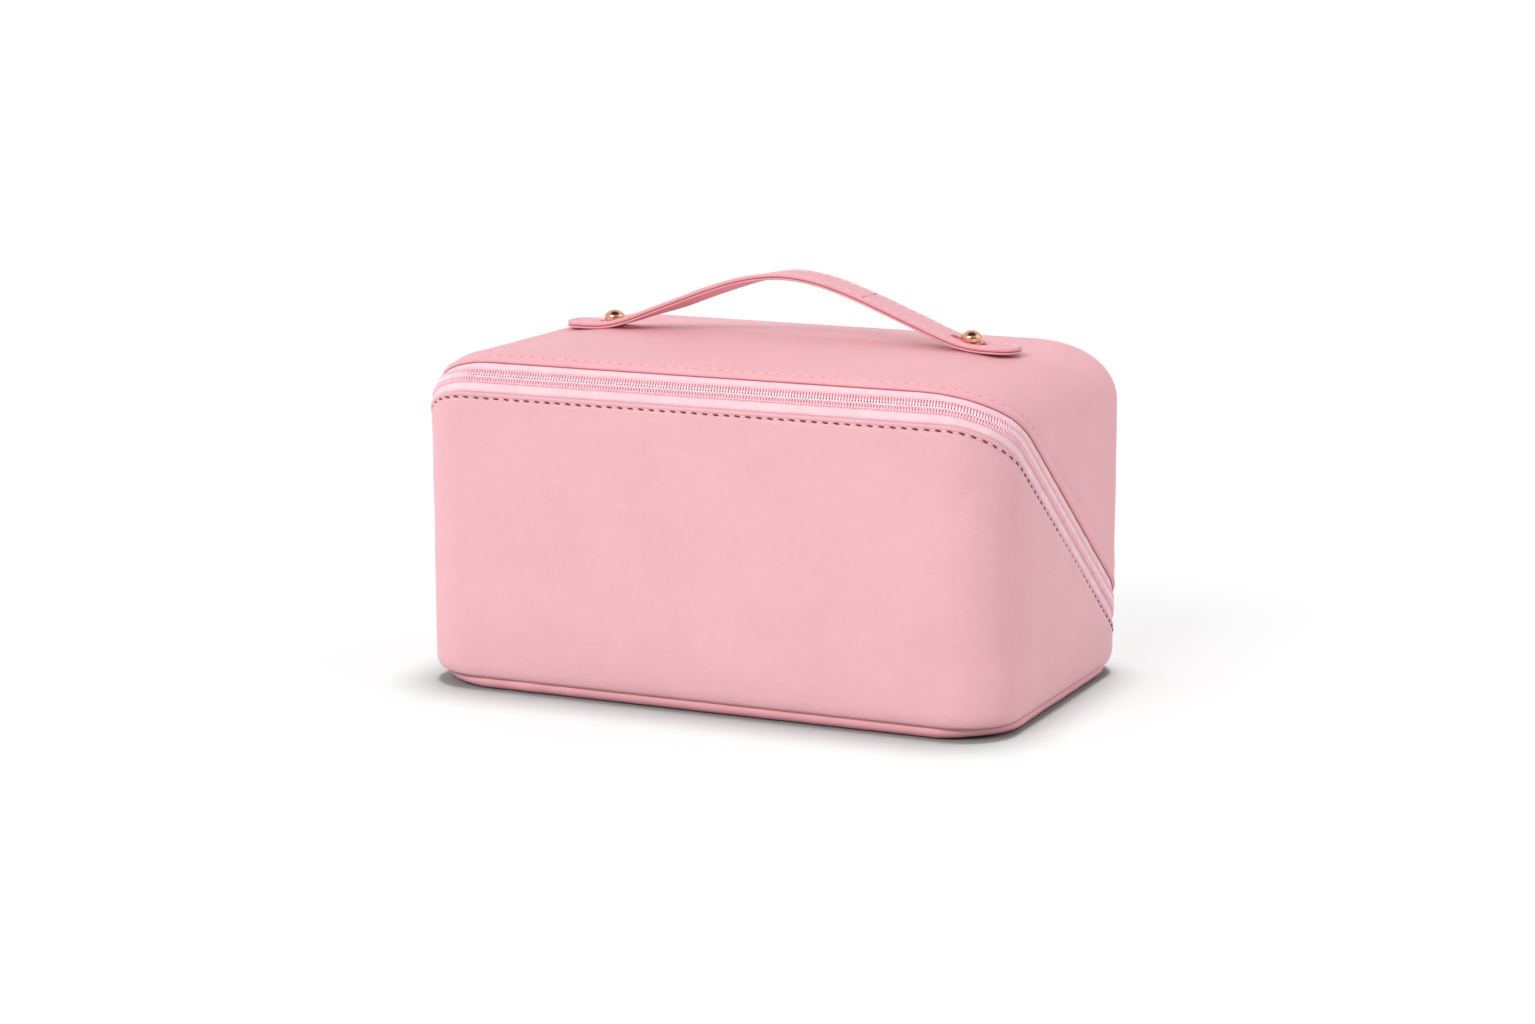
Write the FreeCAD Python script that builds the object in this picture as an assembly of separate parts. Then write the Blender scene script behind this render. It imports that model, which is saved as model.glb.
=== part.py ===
"""Makeup train case: a soft-sided box of coated leather that opens along one slanted zip.

The zip lies in a single plane that runs from the top front edge down to the low rear edge.
Below that plane is the tray (front, ends and floor), above it the lid (top, back and ends).
Units are millimetres. X runs along the case, -Y is the front, +Z is up, and the origin is
the middle of the face that the case stands on.
"""

import FreeCAD
import Part

import math
import os

from FreeCAD import Placement, Rotation, Vector

# ---------------------------------------------------------------- driving dimensions
LENGTH = 240.0
DEPTH = 145.0
HEIGHT = 131.0
CORNER_RADIUS = 22.0
TOP_RADIUS = 17.5
HALF_L = LENGTH / 2
HALF_D = DEPTH / 2
MID_HEIGHT = HEIGHT / 2

# Layers of a wall, as depths below the outer surface.
COVER = (0.0, 1.4)
BOARD = (1.5, 2.7)
LINING = (2.8, 3.5)
TAPE = (1.5, 2.1)
COIL = (-0.3, 1.45)
STOP = (-0.5, 1.45)

# The floor.
FLOOR_HEIGHT = 5.6
FLOOR_INSET = 1.3
FLOOR_EDGE_RADIUS = 4.3
SEAM_HEIGHT = 5.7
ZIP_START_HEIGHT = 5.8
BASE_BOARD = (1.5, 3.2)
BASE_BOARD_INSET = 8.0
BOARD_FOOT_Z = 9.5
LINING_FLOOR = (3.4, 4.1)

# The zip plane: a 3-4-5 slope through the top front edge. w is the distance from it, + above.
ZIP_HEIGHT_AT_FRONT = 124.4
ZIP_SIN = 0.6
ZIP_COS = 0.8
ZIP_SLOPE = math.degrees(math.atan2(ZIP_SIN, ZIP_COS))
TRAY_EDGE_W = -5.0
LID_EDGE_W = 5.8
LINING_EDGE_W = 5.3
BOARD_EDGE_W = 10.7
TOP_BOARD_HALF = (88.0, 52.0)
BOARD_CORNER_GAP = 1.0
BOARD_TOP_GAP = 0.5
REAR_BOARD_ABOVE_FOLD = 8.0
BOARD_HOLE_PLAY = 0.3
TAPE_W = (0.5, 10.0)
COIL_W = (0.6, 3.0)
STOP_W = (0.6, 3.2)
STOP_LENGTH = 2.0
STOP_GAP = 0.1

# The fold across the back, on which the lid turns.
FOLD_INSET = 1.2
FOLD_Y = HALF_D - FOLD_INSET
FOLD_Z = ZIP_HEIGHT_AT_FRONT - ZIP_SIN / ZIP_COS * (FOLD_Y + HALF_D)
FOLD_RADIUS = 1.2
FOLD_CLEARANCE = 2.6
REAR_HALF = HALF_L - CORNER_RADIUS - 1.0
SIDE_GAP = 0.3
FOLD_END_GAP = 0.5
STOP_REAR_HALF = REAR_HALF + SIDE_GAP + STOP_LENGTH
COIL_REAR_HALF = STOP_REAR_HALF + STOP_GAP

# The handle strap: two tabs that slide on studs, and two spans hinged at the crown.
STRAP_Y = 12.0
STRAP_WIDTH = 16.0
STRAP_LIFT = 0.8
STRAP_LAYERS = ((0.0, 1.15), (1.25, 2.4))
STRAP_THICKNESS = STRAP_LAYERS[1][1]
TAB_TIP_X = 96.5
STUD_X = 76.3
TAB_HINGE_X = 67.0
TAB_END_GAP = 0.4
TAB_CORNER = 7.0
SPAN_ANGLE = 21.3
CROWN_RADIUS = 40.0
SLOT_LENGTH = 12.4
SLOT_WIDTH = 3.6
NECK_RADIUS = 1.6
NECK_PLAY = 0.05
WASHER_PLAY = 0.02
HEAD_RADIUS = 4.1
HEAD_HEIGHT = 4.6
HEAD_RIM = 1.6
HEAD_SHOULDER = 2.0
HEAD_GAP = 0.4
HEAD_CHAMFER = 0.5
FLANGE_RADIUS = 5.0
FLANGE_THICKNESS = 0.7
WASHER_RADIUS = 4.5
WASHER_THICKNESS = 0.9
RIVET_BELOW_WASHER = 0.1

# The slider, in its own frame: h outward from the end wall, s up the zip, w across it.
SLIDER_Y = 45.0
SLIDER_HALF_LENGTH = 5.5
SLIDER_HALF_WIDTH = 4.6
SLIDER_TAIL_HALF_WIDTH = 3.9
SLIDER_CORNER_CUT = 1.1
SLIDER_TAPER_START_S = -0.5
SLIDER_POST_NOSE_GAP = 0.4
SLIDER_POST_END_S = -1.5
SLIDER_POST_HALF_WIDTH = 0.4
SLIDER_FLANGE_W = (-3.85, -3.25)
SLIDER_FLANGE_DEPTH = 1.1
SLIDER_FLANGE_NOSE_GAP = 1.2
SLIDER_FLANGE_TAIL_GAP = 1.4
WELD_OVERLAP = 0.1
TOP_PLATE_H = (0.5, 1.7)
BOTTOM_PLATE_H = (-3.3, -2.3)
BRIDGE_H = (1.7, 4.5)
BRIDGE_HALF_LENGTH = 3.9
BRIDGE_WALL = 1.2
BRIDGE_HALF_WIDTH = 1.1
BRIDGE_ROUNDING = 1.4
BRIDGE_THICKNESS = 1.1
PULL_AXIS_H = 2.5
PULL_AXIS_S = -1.6
PULL_THICKNESS = 1.4
PULL_HALF_WIDTH = 3.6
PULL_ARM_W = (1.5, 2.7)
PULL_ARM_LENGTH = 6.4
PULL_ARM_OVERLAP = 0.5
PULL_LENGTH = 27.0
PULL_END_RADIUS = 3.4
PULL_START_RADIUS = 1.0
PULL_HOLE_RADIUS = 1.3
PULL_HOLE_FROM_END = 4.2

# Things inside.
POCKET_HALF_LENGTH = 88.0
POCKET_Z = (8.0, 70.0)
POCKET_DEPTH = 1.6
POCKET_SKIN = 0.5
POCKET_SEAM = 1.5
STITCH_GAP = 0.02
ELASTIC_Z = (70.1, 79.0)
ELASTIC_DEPTH = 2.2
BRUSH_BAND_HALF_LENGTH = 78.0
BRUSH_BAND_Z = (52.0, 76.0)
BRUSH_BAND_DEPTH = 1.5
FLAP_AXIS_Y = 68.1
FLAP_AXIS_Z = 23.5
FLAP_FOLD_RADIUS = 0.8
FLAP_HALF_LENGTH = 90.0
FLAP_Z = (24.7, 106.0)
FLAP_Y = (63.6, 66.2)
FLAP_BINDING = 2.2
FLAP_BINDING_PROUD = 0.4
DIVIDER_X = 30.0
DIVIDER_THICKNESS = 3.0
DIVIDER_FRONT_Y = -64.0
DIVIDER_REAR_Y = 56.0
DIVIDER_FLOOR_Z = 4.9
DIVIDER_HEIGHT = 73.0
DIVIDER_EDGE_W = -12.0
DIVIDER_BINDING = 2.6
DIVIDER_BINDING_PROUD = 0.4

# Reach of cutting shapes, how far they pass a surface, and the smallest length that counts.
FAR = 300.0
PAST = 1.0
UNDER_TOP = 5.0
EPS = 1e-4
ZIP_FRAME = Placement(Vector(0, -HALF_D, ZIP_HEIGHT_AT_FRONT), Rotation(Vector(1, 0, 0), -ZIP_SLOPE))


# ---------------------------------------------------------------- basic shapes
def span_box(x, y, z):
    """A box from three (low, high) pairs."""
    return Part.makeBox(x[1] - x[0], y[1] - y[0], z[1] - z[0], Vector(x[0], y[0], z[0]))


def edges_at(shape, height):
    """The edges that lie flat at one height."""
    return [e for e in shape.Edges if e.BoundBox.ZLength < EPS and abs(e.BoundBox.ZMin - height) < EPS]


def upright_edges(shape):
    return [e for e in shape.Edges if e.BoundBox.XLength < EPS and e.BoundBox.YLength < EPS]


def rounded_block(depth, low, high):
    """A block inset by depth from the case's sides, with rounded upright corners."""
    block = span_box((-HALF_L + depth, HALF_L - depth), (-HALF_D + depth, HALF_D - depth), (low, high))
    return block.makeFillet(CORNER_RADIUS - depth, upright_edges(block))


def envelope(depth, low):
    """The case's outer form, shrunk by depth, from the height low up to its rounded top."""
    block = rounded_block(depth, low, HEIGHT - depth)
    return block.makeFillet(TOP_RADIUS - depth, edges_at(block, HEIGHT - depth))


def wall(layer, low=SEAM_HEIGHT):
    """A wall layer all round the case, open underneath."""
    return envelope(layer[0], low).cut(envelope(layer[1], low - PAST))


def zip_slab(low, high):
    """The space between two distances from the zip plane."""
    slab = span_box((-FAR, FAR), (-FAR, FAR), (low, high))
    slab.Placement = ZIP_FRAME
    return slab


def zip_z(y, w):
    """The height of a point at depth y that lies w from the zip plane."""
    return ZIP_HEIGHT_AT_FRONT + (w - ZIP_SIN * (y + HALF_D)) / ZIP_COS


def back_zone(low, high):
    """The flat middle of the back wall, between two heights."""
    return span_box((-REAR_HALF, REAR_HALF), (HALF_D - CORNER_RADIUS, FAR), (low, high))


def bead(radius, half_length, y, z):
    """A round bar along X."""
    return Part.makeCylinder(radius, 2 * half_length, Vector(-half_length, y, z), Vector(1, 0, 0))


def fold_clearance():
    """The room that the walls leave round the fold."""
    return bead(FOLD_CLEARANCE, FAR, FOLD_Y, FOLD_Z)


def tray_part(layer, edge_w, low=SEAM_HEIGHT):
    """A wall layer below the zip, with the low strip of the back under the fold."""
    zone = zip_slab(-FAR, edge_w).fuse(back_zone(-PAST, FOLD_Z))
    return wall(layer, low).common(zone).cut(fold_clearance())


def lid_part(layer, edge_w):
    """A wall layer above the zip, with the back down to the fold."""
    zone = zip_slab(edge_w, FAR).fuse(back_zone(FOLD_Z, MID_HEIGHT))
    return wall(layer).common(zone).cut(fold_clearance())


def zip_strip(layer, span, side, inner_half=REAR_HALF + SIDE_GAP):
    """A strip along the zip, on the lid's side (1) or the tray's (-1), open across the back's middle."""
    low, high = sorted((side * span[0], side * span[1]))
    middle = span_box((-inner_half, inner_half), (HALF_D - CORNER_RADIUS, FAR), (-PAST, MID_HEIGHT))
    return wall(layer, ZIP_START_HEIGHT).common(zip_slab(low, high)).cut(middle).cut(fold_clearance())


def plate(points, low, high):
    """A flat plate whose outline is (y, z) points, from low to high along X."""
    corners = [Vector(low, y, z) for y, z in points]
    outline = Part.makePolygon(corners + corners[:1])
    return Part.Face(outline).extrude(Vector(high - low, 0, 0))


# ---------------------------------------------------------------- tray
def bottom_cover():
    outer = rounded_block(FLOOR_INSET, 0.0, FLOOR_HEIGHT)
    outer = outer.makeFillet(FLOOR_EDGE_RADIUS, edges_at(outer, 0.0))
    inner_depth = FLOOR_INSET + COVER[1]
    inner = rounded_block(inner_depth, COVER[1], FLOOR_HEIGHT + PAST)
    inner = inner.makeFillet(FLOOR_EDGE_RADIUS - COVER[1], edges_at(inner, COVER[1]))
    return outer.cut(inner)


def base_lining():
    zone = zip_slab(-FAR, -LINING_EDGE_W).fuse(back_zone(-PAST, FOLD_Z))
    tray = envelope(LINING[0], LINING_FLOOR[0]).cut(envelope(LINING[1], LINING_FLOOR[1]))
    return tray.common(zone).cut(fold_clearance())


def front_board():
    flat_half = HALF_L - CORNER_RADIUS - BOARD_CORNER_GAP
    y = (-HALF_D + BOARD[0], -HALF_D + BOARD[1])
    return span_box((-flat_half, flat_half), y, (BOARD_FOOT_Z, zip_z(y[1], -BOARD_EDGE_W)))


def end_board(side, upper):
    """The stiffener in an end wall, on the left (-1) or right (1), above or below the zip."""
    reach = HALF_D - CORNER_RADIUS - BOARD_CORNER_GAP
    if upper:
        top = HEIGHT - TOP_RADIUS - BOARD_TOP_GAP
        front = -HALF_D + (BOARD_EDGE_W - ZIP_COS * (top - ZIP_HEIGHT_AT_FRONT)) / ZIP_SIN
        points = [(reach, zip_z(reach, BOARD_EDGE_W)), (reach, top), (front, top)]
    else:
        low = BOARD_FOOT_Z
        points = [(-reach, low), (reach, low)] + [(y, zip_z(y, -BOARD_EDGE_W)) for y in (reach, -reach)]
    low_x, high_x = sorted((side * (HALF_L - BOARD[0]), side * (HALF_L - BOARD[1])))
    return plate(points, low_x, high_x)


def zip_stops(side):
    """The small clamps on the two ends of one row."""
    strip = zip_strip(STOP, STOP_W, side)
    return strip.common(span_box((-STOP_REAR_HALF, STOP_REAR_HALF), (0, FAR), (0, MID_HEIGHT)))


def mesh_pocket():
    """A flat slip pocket on the front wall's lining: a thin skin with closed sides and bottom."""
    back = -HALF_D + LINING[1] + STITCH_GAP
    front = back + POCKET_DEPTH
    half = POCKET_HALF_LENGTH
    outer = span_box((-half, half), (back, front), POCKET_Z)
    inner_half = half - POCKET_SEAM
    foot_z = POCKET_Z[0] + POCKET_SEAM
    hollow = span_box((-inner_half, inner_half), (back - PAST, front - POCKET_SKIN), (foot_z, FAR))
    return outer.cut(hollow)


def pocket_elastic():
    back = -HALF_D + LINING[1] + STITCH_GAP
    return span_box((-POCKET_HALF_LENGTH, POCKET_HALF_LENGTH), (back, back + ELASTIC_DEPTH), ELASTIC_Z)


def rear_fold_hinge():
    """The stitched fold across the back, on which the lid turns."""
    return bead(FOLD_RADIUS, REAR_HALF - FOLD_END_GAP, FOLD_Y, FOLD_Z)


# ---------------------------------------------------------------- lid
def stud_cylinders(radius, low, high):
    """A cylinder on each stud's axis, between two heights."""
    feet = [Vector(x, STRAP_Y, low) for x in (-STUD_X, STUD_X)]
    return Part.makeCompound([Part.makeCylinder(radius, high - low, foot) for foot in feet])


def lid_cover():
    cover = lid_part(COVER, LID_EDGE_W)
    cover = cover.cut(stud_cylinders(NECK_RADIUS + NECK_PLAY, HEIGHT - UNDER_TOP, HEIGHT + PAST))
    return cover.cut(stud_cylinders(FLANGE_RADIUS + NECK_PLAY, HEIGHT - FLANGE_THICKNESS, HEIGHT + PAST))


def top_board():
    half_x, half_y = TOP_BOARD_HALF
    board = span_box((-half_x, half_x), (-half_y, half_y), (HEIGHT - BOARD[1], HEIGHT - BOARD[0]))
    return board.cut(stud_cylinders(WASHER_RADIUS + BOARD_HOLE_PLAY, HEIGHT - UNDER_TOP, HEIGHT + PAST))


def rear_board():
    top = HEIGHT - TOP_RADIUS - BOARD_TOP_GAP
    y = (HALF_D - BOARD[1], HALF_D - BOARD[0])
    return span_box((-REAR_HALF, REAR_HALF), y, (FOLD_Z + REAR_BOARD_ABOVE_FOLD, top))


def stud_dome(rim_z, top_z):
    """The head's outline from its top to its rim: a shallow crown that runs into a tighter shoulder."""
    inner = HEAD_RADIUS - HEAD_SHOULDER
    rise = top_z - rim_z
    crown = (inner ** 2 + rise ** 2 - HEAD_SHOULDER ** 2) / (2 * (rise - HEAD_SHOULDER))
    turn = math.atan2(inner, crown - rise)

    def on_crown(angle):
        return Vector(crown * math.sin(angle), 0, top_z - crown + crown * math.cos(angle))

    def on_shoulder(angle):
        return Vector(inner + HEAD_SHOULDER * math.sin(angle), 0, rim_z + HEAD_SHOULDER * math.cos(angle))

    half_way = (turn + math.pi / 2) / 2
    crown_arc = Part.Arc(on_crown(0), on_crown(turn / 2), on_crown(turn))
    shoulder_arc = Part.Arc(on_crown(turn), on_shoulder(half_way), on_shoulder(math.pi / 2))
    return [crown_arc.toShape(), shoulder_arc.toShape()]


def handle_stud(x):
    """A domed stud: head above the strap, neck through its slot, flange let into the cover."""
    head_z = HEIGHT + STRAP_LIFT + STRAP_THICKNESS + HEAD_GAP
    rim_z = head_z + HEAD_RIM
    top_z = head_z + HEAD_HEIGHT
    bottom_z = HEIGHT - BOARD[0] - WASHER_THICKNESS - RIVET_BELOW_WASHER
    flange_z = HEIGHT - FLANGE_THICKNESS
    neck = NECK_RADIUS
    rim = [(HEAD_RADIUS, rim_z), (HEAD_RADIUS, head_z + HEAD_CHAMFER)]
    under = [(HEAD_RADIUS - HEAD_CHAMFER, head_z), (neck, head_z)]
    flange = [(neck, HEIGHT), (FLANGE_RADIUS, HEIGHT), (FLANGE_RADIUS, flange_z), (neck, flange_z)]
    core = [(neck, bottom_z), (0, bottom_z), (0, top_z)]
    points = [Vector(r, 0, z) for r, z in rim + under + flange + core]
    sides = [Part.LineSegment(a, b).toShape() for a, b in zip(points, points[1:])]
    dome = stud_dome(rim_z, top_z)
    stud = Part.Face(Part.Wire(sides + dome)).revolve(Vector(0, 0, 0), Vector(0, 0, 1), 360)
    stud.translate(Vector(x, STRAP_Y, 0))
    return stud


def stud_washers():
    low = HEIGHT - BOARD[0] - WASHER_THICKNESS
    discs = stud_cylinders(WASHER_RADIUS, low, low + WASHER_THICKNESS)
    return discs.cut(stud_cylinders(NECK_RADIUS + WASHER_PLAY, low - PAST, HEIGHT))


def brush_band():
    """The elastic band on the back wall's lining, behind the flap."""
    half = BRUSH_BAND_HALF_LENGTH
    back = HALF_D - LINING[1] - STITCH_GAP
    return span_box((-half, half), (back - BRUSH_BAND_DEPTH, back), BRUSH_BAND_Z)


def flap_fold_hinge():
    """The fold along the flap's foot."""
    return bead(FLAP_FOLD_RADIUS, FLAP_HALF_LENGTH, FLAP_AXIS_Y, FLAP_AXIS_Z)


# ---------------------------------------------------------------- handle
def across_strap(width):
    return (STRAP_Y - width / 2, STRAP_Y + width / 2)


def on_side(shape, side):
    """The shape as drawn for the right (1), or mirrored to the left (-1)."""
    return shape if side > 0 else shape.mirror(Vector(0, 0, 0), Vector(1, 0, 0))


def tab_layer(side, layer):
    """One layer of a strap tab: a rounded tongue with a slot for the stud's neck."""
    low, high = (HEIGHT + STRAP_LIFT + depth for depth in layer)
    tongue = span_box((TAB_HINGE_X + TAB_END_GAP, TAB_TIP_X), across_strap(STRAP_WIDTH), (low, high))
    tip = [e for e in upright_edges(tongue) if abs(e.BoundBox.XMin - TAB_TIP_X) < EPS]
    tongue = tongue.makeFillet(TAB_CORNER, tip)
    end = (SLOT_LENGTH - SLOT_WIDTH) / 2
    slot = span_box((STUD_X - end, STUD_X + end), across_strap(SLOT_WIDTH), (low - PAST, high + PAST))
    for x in (STUD_X - end, STUD_X + end):
        foot = Vector(x, STRAP_Y, low - PAST)
        slot = slot.fuse(Part.makeCylinder(SLOT_WIDTH / 2, high - low + 2 * PAST, foot))
    return on_side(tongue.cut(slot), side)


def span_layer(side, layer):
    """One layer of half the raised strap: a straight rise from the tab, then an arc to the crown."""
    angle = math.radians(SPAN_ANGLE)
    foot = Vector(TAB_HINGE_X, 0, HEIGHT + STRAP_LIFT)
    arc_start_z = foot.z + (TAB_HINGE_X - CROWN_RADIUS * math.sin(angle)) * math.tan(angle)
    centre = Vector(0, 0, arc_start_z - CROWN_RADIUS * math.cos(angle))
    rise = Vector(-math.cos(angle), 0, math.sin(angle))
    out = Vector(math.sin(angle), 0, math.cos(angle))

    def line(depth):
        """Foot, start of the arc, middle of the arc and crown, at a height above the strap's underside."""
        radius = CROWN_RADIUS + depth
        return [foot + out * depth + rise * (TAB_END_GAP + depth * math.tan(angle)),
                centre + out * radius,
                centre + Vector(math.sin(angle / 2), 0, math.cos(angle / 2)) * radius,
                centre + Vector(0, 0, radius)]

    low, high = line(layer[0]), line(layer[1])
    straights = [(low[0], low[1]), (low[3], high[3]), (high[1], high[0]), (high[0], low[0])]
    edges = [Part.LineSegment(a, b).toShape() for a, b in straights]
    edges += [Part.Arc(*side_points[1:]).toShape() for side_points in (low, high)]
    face = Part.Face(Part.Wire(Part.__sortEdges__(edges)))
    strap = face.extrude(Vector(0, STRAP_WIDTH, 0))
    strap.translate(Vector(0, across_strap(STRAP_WIDTH)[0], 0))
    return on_side(strap, side)


# ---------------------------------------------------------------- slider and pull
def on_end_wall(shape):
    """Moves a shape drawn with x outward, y up the zip and z across it to the slider's place."""
    rotation = Rotation(Vector(-1, 0, 0), Vector(0, -ZIP_COS, ZIP_SIN), Vector(0, ZIP_SIN, ZIP_COS), "XYZ")
    rest = Placement(Vector(-HALF_L, SLIDER_Y, zip_z(SLIDER_Y, 0.0)), rotation)
    shape.Placement = rest.multiply(shape.Placement)
    return shape


def slider_plate(heights):
    """A plate wide at its nose, where the two rows enter, and narrow at its tail."""
    nose, tail, half = SLIDER_HALF_WIDTH, SLIDER_TAIL_HALF_WIDTH, SLIDER_HALF_LENGTH
    cut = SLIDER_CORNER_CUT
    nose_corner = [(-half, nose - cut), (-half + cut, nose)]
    one_side = nose_corner + [(SLIDER_TAPER_START_S, nose), (half - cut, tail), (half, tail - cut)]
    other_side = [(s, -w) for s, w in reversed(one_side)]
    return plate(one_side + other_side, *heights)


def slider_body():
    """Two plates joined by the post between the rows, with the guide flange on the tray's side."""
    half, wide = SLIDER_HALF_LENGTH, SLIDER_POST_HALF_WIDTH
    post_h = (BOTTOM_PLATE_H[0] + WELD_OVERLAP, TOP_PLATE_H[1] - WELD_OVERLAP)
    post = span_box(post_h, (-half + SLIDER_POST_NOSE_GAP, SLIDER_POST_END_S), (-wide, wide))
    flange_h = (-SLIDER_FLANGE_DEPTH, TOP_PLATE_H[0] + WELD_OVERLAP)
    flange_s = (-half + SLIDER_FLANGE_NOSE_GAP, half - SLIDER_FLANGE_TAIL_GAP)
    flange = span_box(flange_h, flange_s, SLIDER_FLANGE_W)
    body = slider_plate(TOP_PLATE_H).fuse([slider_plate(BOTTOM_PLATE_H), post, flange])
    return on_end_wall(body.removeSplitter())


def slider_bridge():
    """The arch on the top plate that holds the pull."""
    half, wide = BRIDGE_HALF_LENGTH, BRIDGE_HALF_WIDTH
    arch = span_box(BRIDGE_H, (-half, half), (-wide, wide))
    across = [e for e in arch.Edges if e.BoundBox.XLength < EPS and e.BoundBox.YLength < EPS]
    arch = arch.makeFillet(BRIDGE_ROUNDING, [e for e in across if abs(e.BoundBox.XMin - BRIDGE_H[1]) < EPS])
    inner = half - BRIDGE_WALL
    window = span_box((0, BRIDGE_H[1] - BRIDGE_THICKNESS), (-inner, inner), (-FAR, FAR))
    return on_end_wall(arch.cut(window))


def pull_tab():
    """A crossbar through the bridge, two arms past the slider's nose and a tongue with a hole."""
    half_t = PULL_THICKNESS / 2
    axis = Vector(PULL_AXIS_H, PULL_AXIS_S, 0)
    bar = Part.makeCylinder(half_t, 2 * PULL_ARM_W[1], axis - Vector(0, 0, PULL_ARM_W[1]), Vector(0, 0, 1))
    heights = (PULL_AXIS_H - half_t, PULL_AXIS_H + half_t)
    near, far = PULL_AXIS_S - PULL_ARM_LENGTH, PULL_AXIS_S - PULL_LENGTH
    arm_s = (near - PULL_ARM_OVERLAP, PULL_AXIS_S)
    arms = span_box(heights, arm_s, (-PULL_ARM_W[1], PULL_ARM_W[1]))
    arms = arms.cut(span_box(heights, arm_s, (-PULL_ARM_W[0], PULL_ARM_W[0])))
    tongue = span_box(heights, (far, near), (-PULL_HALF_WIDTH, PULL_HALF_WIDTH))
    for radius, end in ((PULL_END_RADIUS, far), (PULL_START_RADIUS, near)):
        through = [e for e in tongue.Edges if e.BoundBox.XLength > half_t and e.BoundBox.YLength < EPS]
        tongue = tongue.makeFillet(radius, [e for e in through if abs(e.BoundBox.YMin - end) < EPS])
    hole_foot = Vector(0, far + PULL_HOLE_FROM_END, 0)
    hole = Part.makeCylinder(PULL_HOLE_RADIUS, FAR, hole_foot, Vector(1, 0, 0))
    return on_end_wall(tongue.cut(hole).fuse([bar, arms]).removeSplitter())


# ---------------------------------------------------------------- flap and divider
def brush_flap():
    return span_box((-FLAP_HALF_LENGTH, FLAP_HALF_LENGTH), FLAP_Y, FLAP_Z)


def flap_binding():
    """The bound edge round the flap's two sides and its top."""
    outer_half = FLAP_HALF_LENGTH + FLAP_BINDING
    y = (FLAP_Y[0] - FLAP_BINDING_PROUD, FLAP_Y[1] + FLAP_BINDING_PROUD)
    outer = span_box((-outer_half, outer_half), y, (FLAP_Z[0], FLAP_Z[1] + FLAP_BINDING))
    return outer.cut(span_box((-FLAP_HALF_LENGTH, FLAP_HALF_LENGTH), (0, FAR), (0, FLAP_Z[1])))


def divider_outline(drop):
    """The divider's side outline, with its upper edges lowered by drop."""
    top = DIVIDER_HEIGHT - drop
    w = DIVIDER_EDGE_W - drop
    shoulder_y = -HALF_D + (w - ZIP_COS * (top - ZIP_HEIGHT_AT_FRONT)) / ZIP_SIN
    rear = [(DIVIDER_REAR_Y, DIVIDER_FLOOR_Z), (DIVIDER_REAR_Y, zip_z(DIVIDER_REAR_Y, w))]
    return rear + [(shoulder_y, top), (DIVIDER_FRONT_Y, top), (DIVIDER_FRONT_Y, DIVIDER_FLOOR_Z)]


def divider_panel():
    half = DIVIDER_THICKNESS / 2
    return plate(divider_outline(DIVIDER_BINDING), DIVIDER_X - half, DIVIDER_X + half)


def divider_binding():
    half = DIVIDER_THICKNESS / 2 + DIVIDER_BINDING_PROUD
    outer = plate(divider_outline(0.0), DIVIDER_X - half, DIVIDER_X + half)
    return outer.cut(plate(divider_outline(DIVIDER_BINDING), DIVIDER_X - FAR, DIVIDER_X + FAR))


# ---------------------------------------------------------------- all nodes
def nodes():
    made = {
        "front_cover": tray_part(COVER, TRAY_EDGE_W),
        "bottom_cover": bottom_cover(),
        "base_board": rounded_block(BASE_BOARD_INSET, *BASE_BOARD),
        "front_board": front_board(),
        "base_lining": base_lining(),
        "lower_zipper_tape": zip_strip(TAPE, TAPE_W, -1),
        "lower_zipper_coil": zip_strip(COIL, COIL_W, -1, COIL_REAR_HALF),
        "lower_zipper_stops": zip_stops(-1),
        "rear_fold_hinge": rear_fold_hinge(),
        "mesh_pocket": mesh_pocket(),
        "pocket_elastic": pocket_elastic(),
        "lid_cover": lid_cover(),
        "top_board": top_board(),
        "rear_board": rear_board(),
        "lid_lining": lid_part(LINING, LINING_EDGE_W),
        "upper_zipper_tape": zip_strip(TAPE, TAPE_W, 1),
        "upper_zipper_coil": zip_strip(COIL, COIL_W, 1, COIL_REAR_HALF),
        "upper_zipper_stops": zip_stops(1),
        "stud_washers": stud_washers(),
        "brush_band": brush_band(),
        "flap_fold_hinge": flap_fold_hinge(),
        "slider_body": slider_body(),
        "slider_bridge": slider_bridge(),
        "pull_tab": pull_tab(),
        "brush_flap": brush_flap(),
        "flap_binding": flap_binding(),
        "divider_panel": divider_panel(),
        "divider_binding": divider_binding(),
    }
    for word, side in (("left", -1), ("right", 1)):
        made[f"lower_end_board_{word}"] = end_board(side, upper=False)
        made[f"upper_end_board_{word}"] = end_board(side, upper=True)
        made[f"handle_stud_{word}"] = handle_stud(side * STUD_X)
        for name, layer in zip(("bottom", "top"), STRAP_LAYERS):
            made[f"handle_{word}_tab_{name}"] = tab_layer(side, layer)
            made[f"handle_{word}_span_{name}"] = span_layer(side, layer)
    return made


def main():
    os.makedirs("parts", exist_ok=True)
    for name, shape in nodes().items():
        solids = shape.Solids
        if not solids or not all(s.isValid() and s.isClosed() for s in solids):
            raise SystemExit(f"{name} isn't a closed solid")
        whole = solids[0] if len(solids) == 1 else Part.makeCompound(solids)
        whole.exportStep(f"parts/{name}.step")
        print(f"{name}: {len(solids)} solid(s), {whole.Volume / 1000:.2f} cm3")


main()
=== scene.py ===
import math
from contextlib import contextmanager

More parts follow.
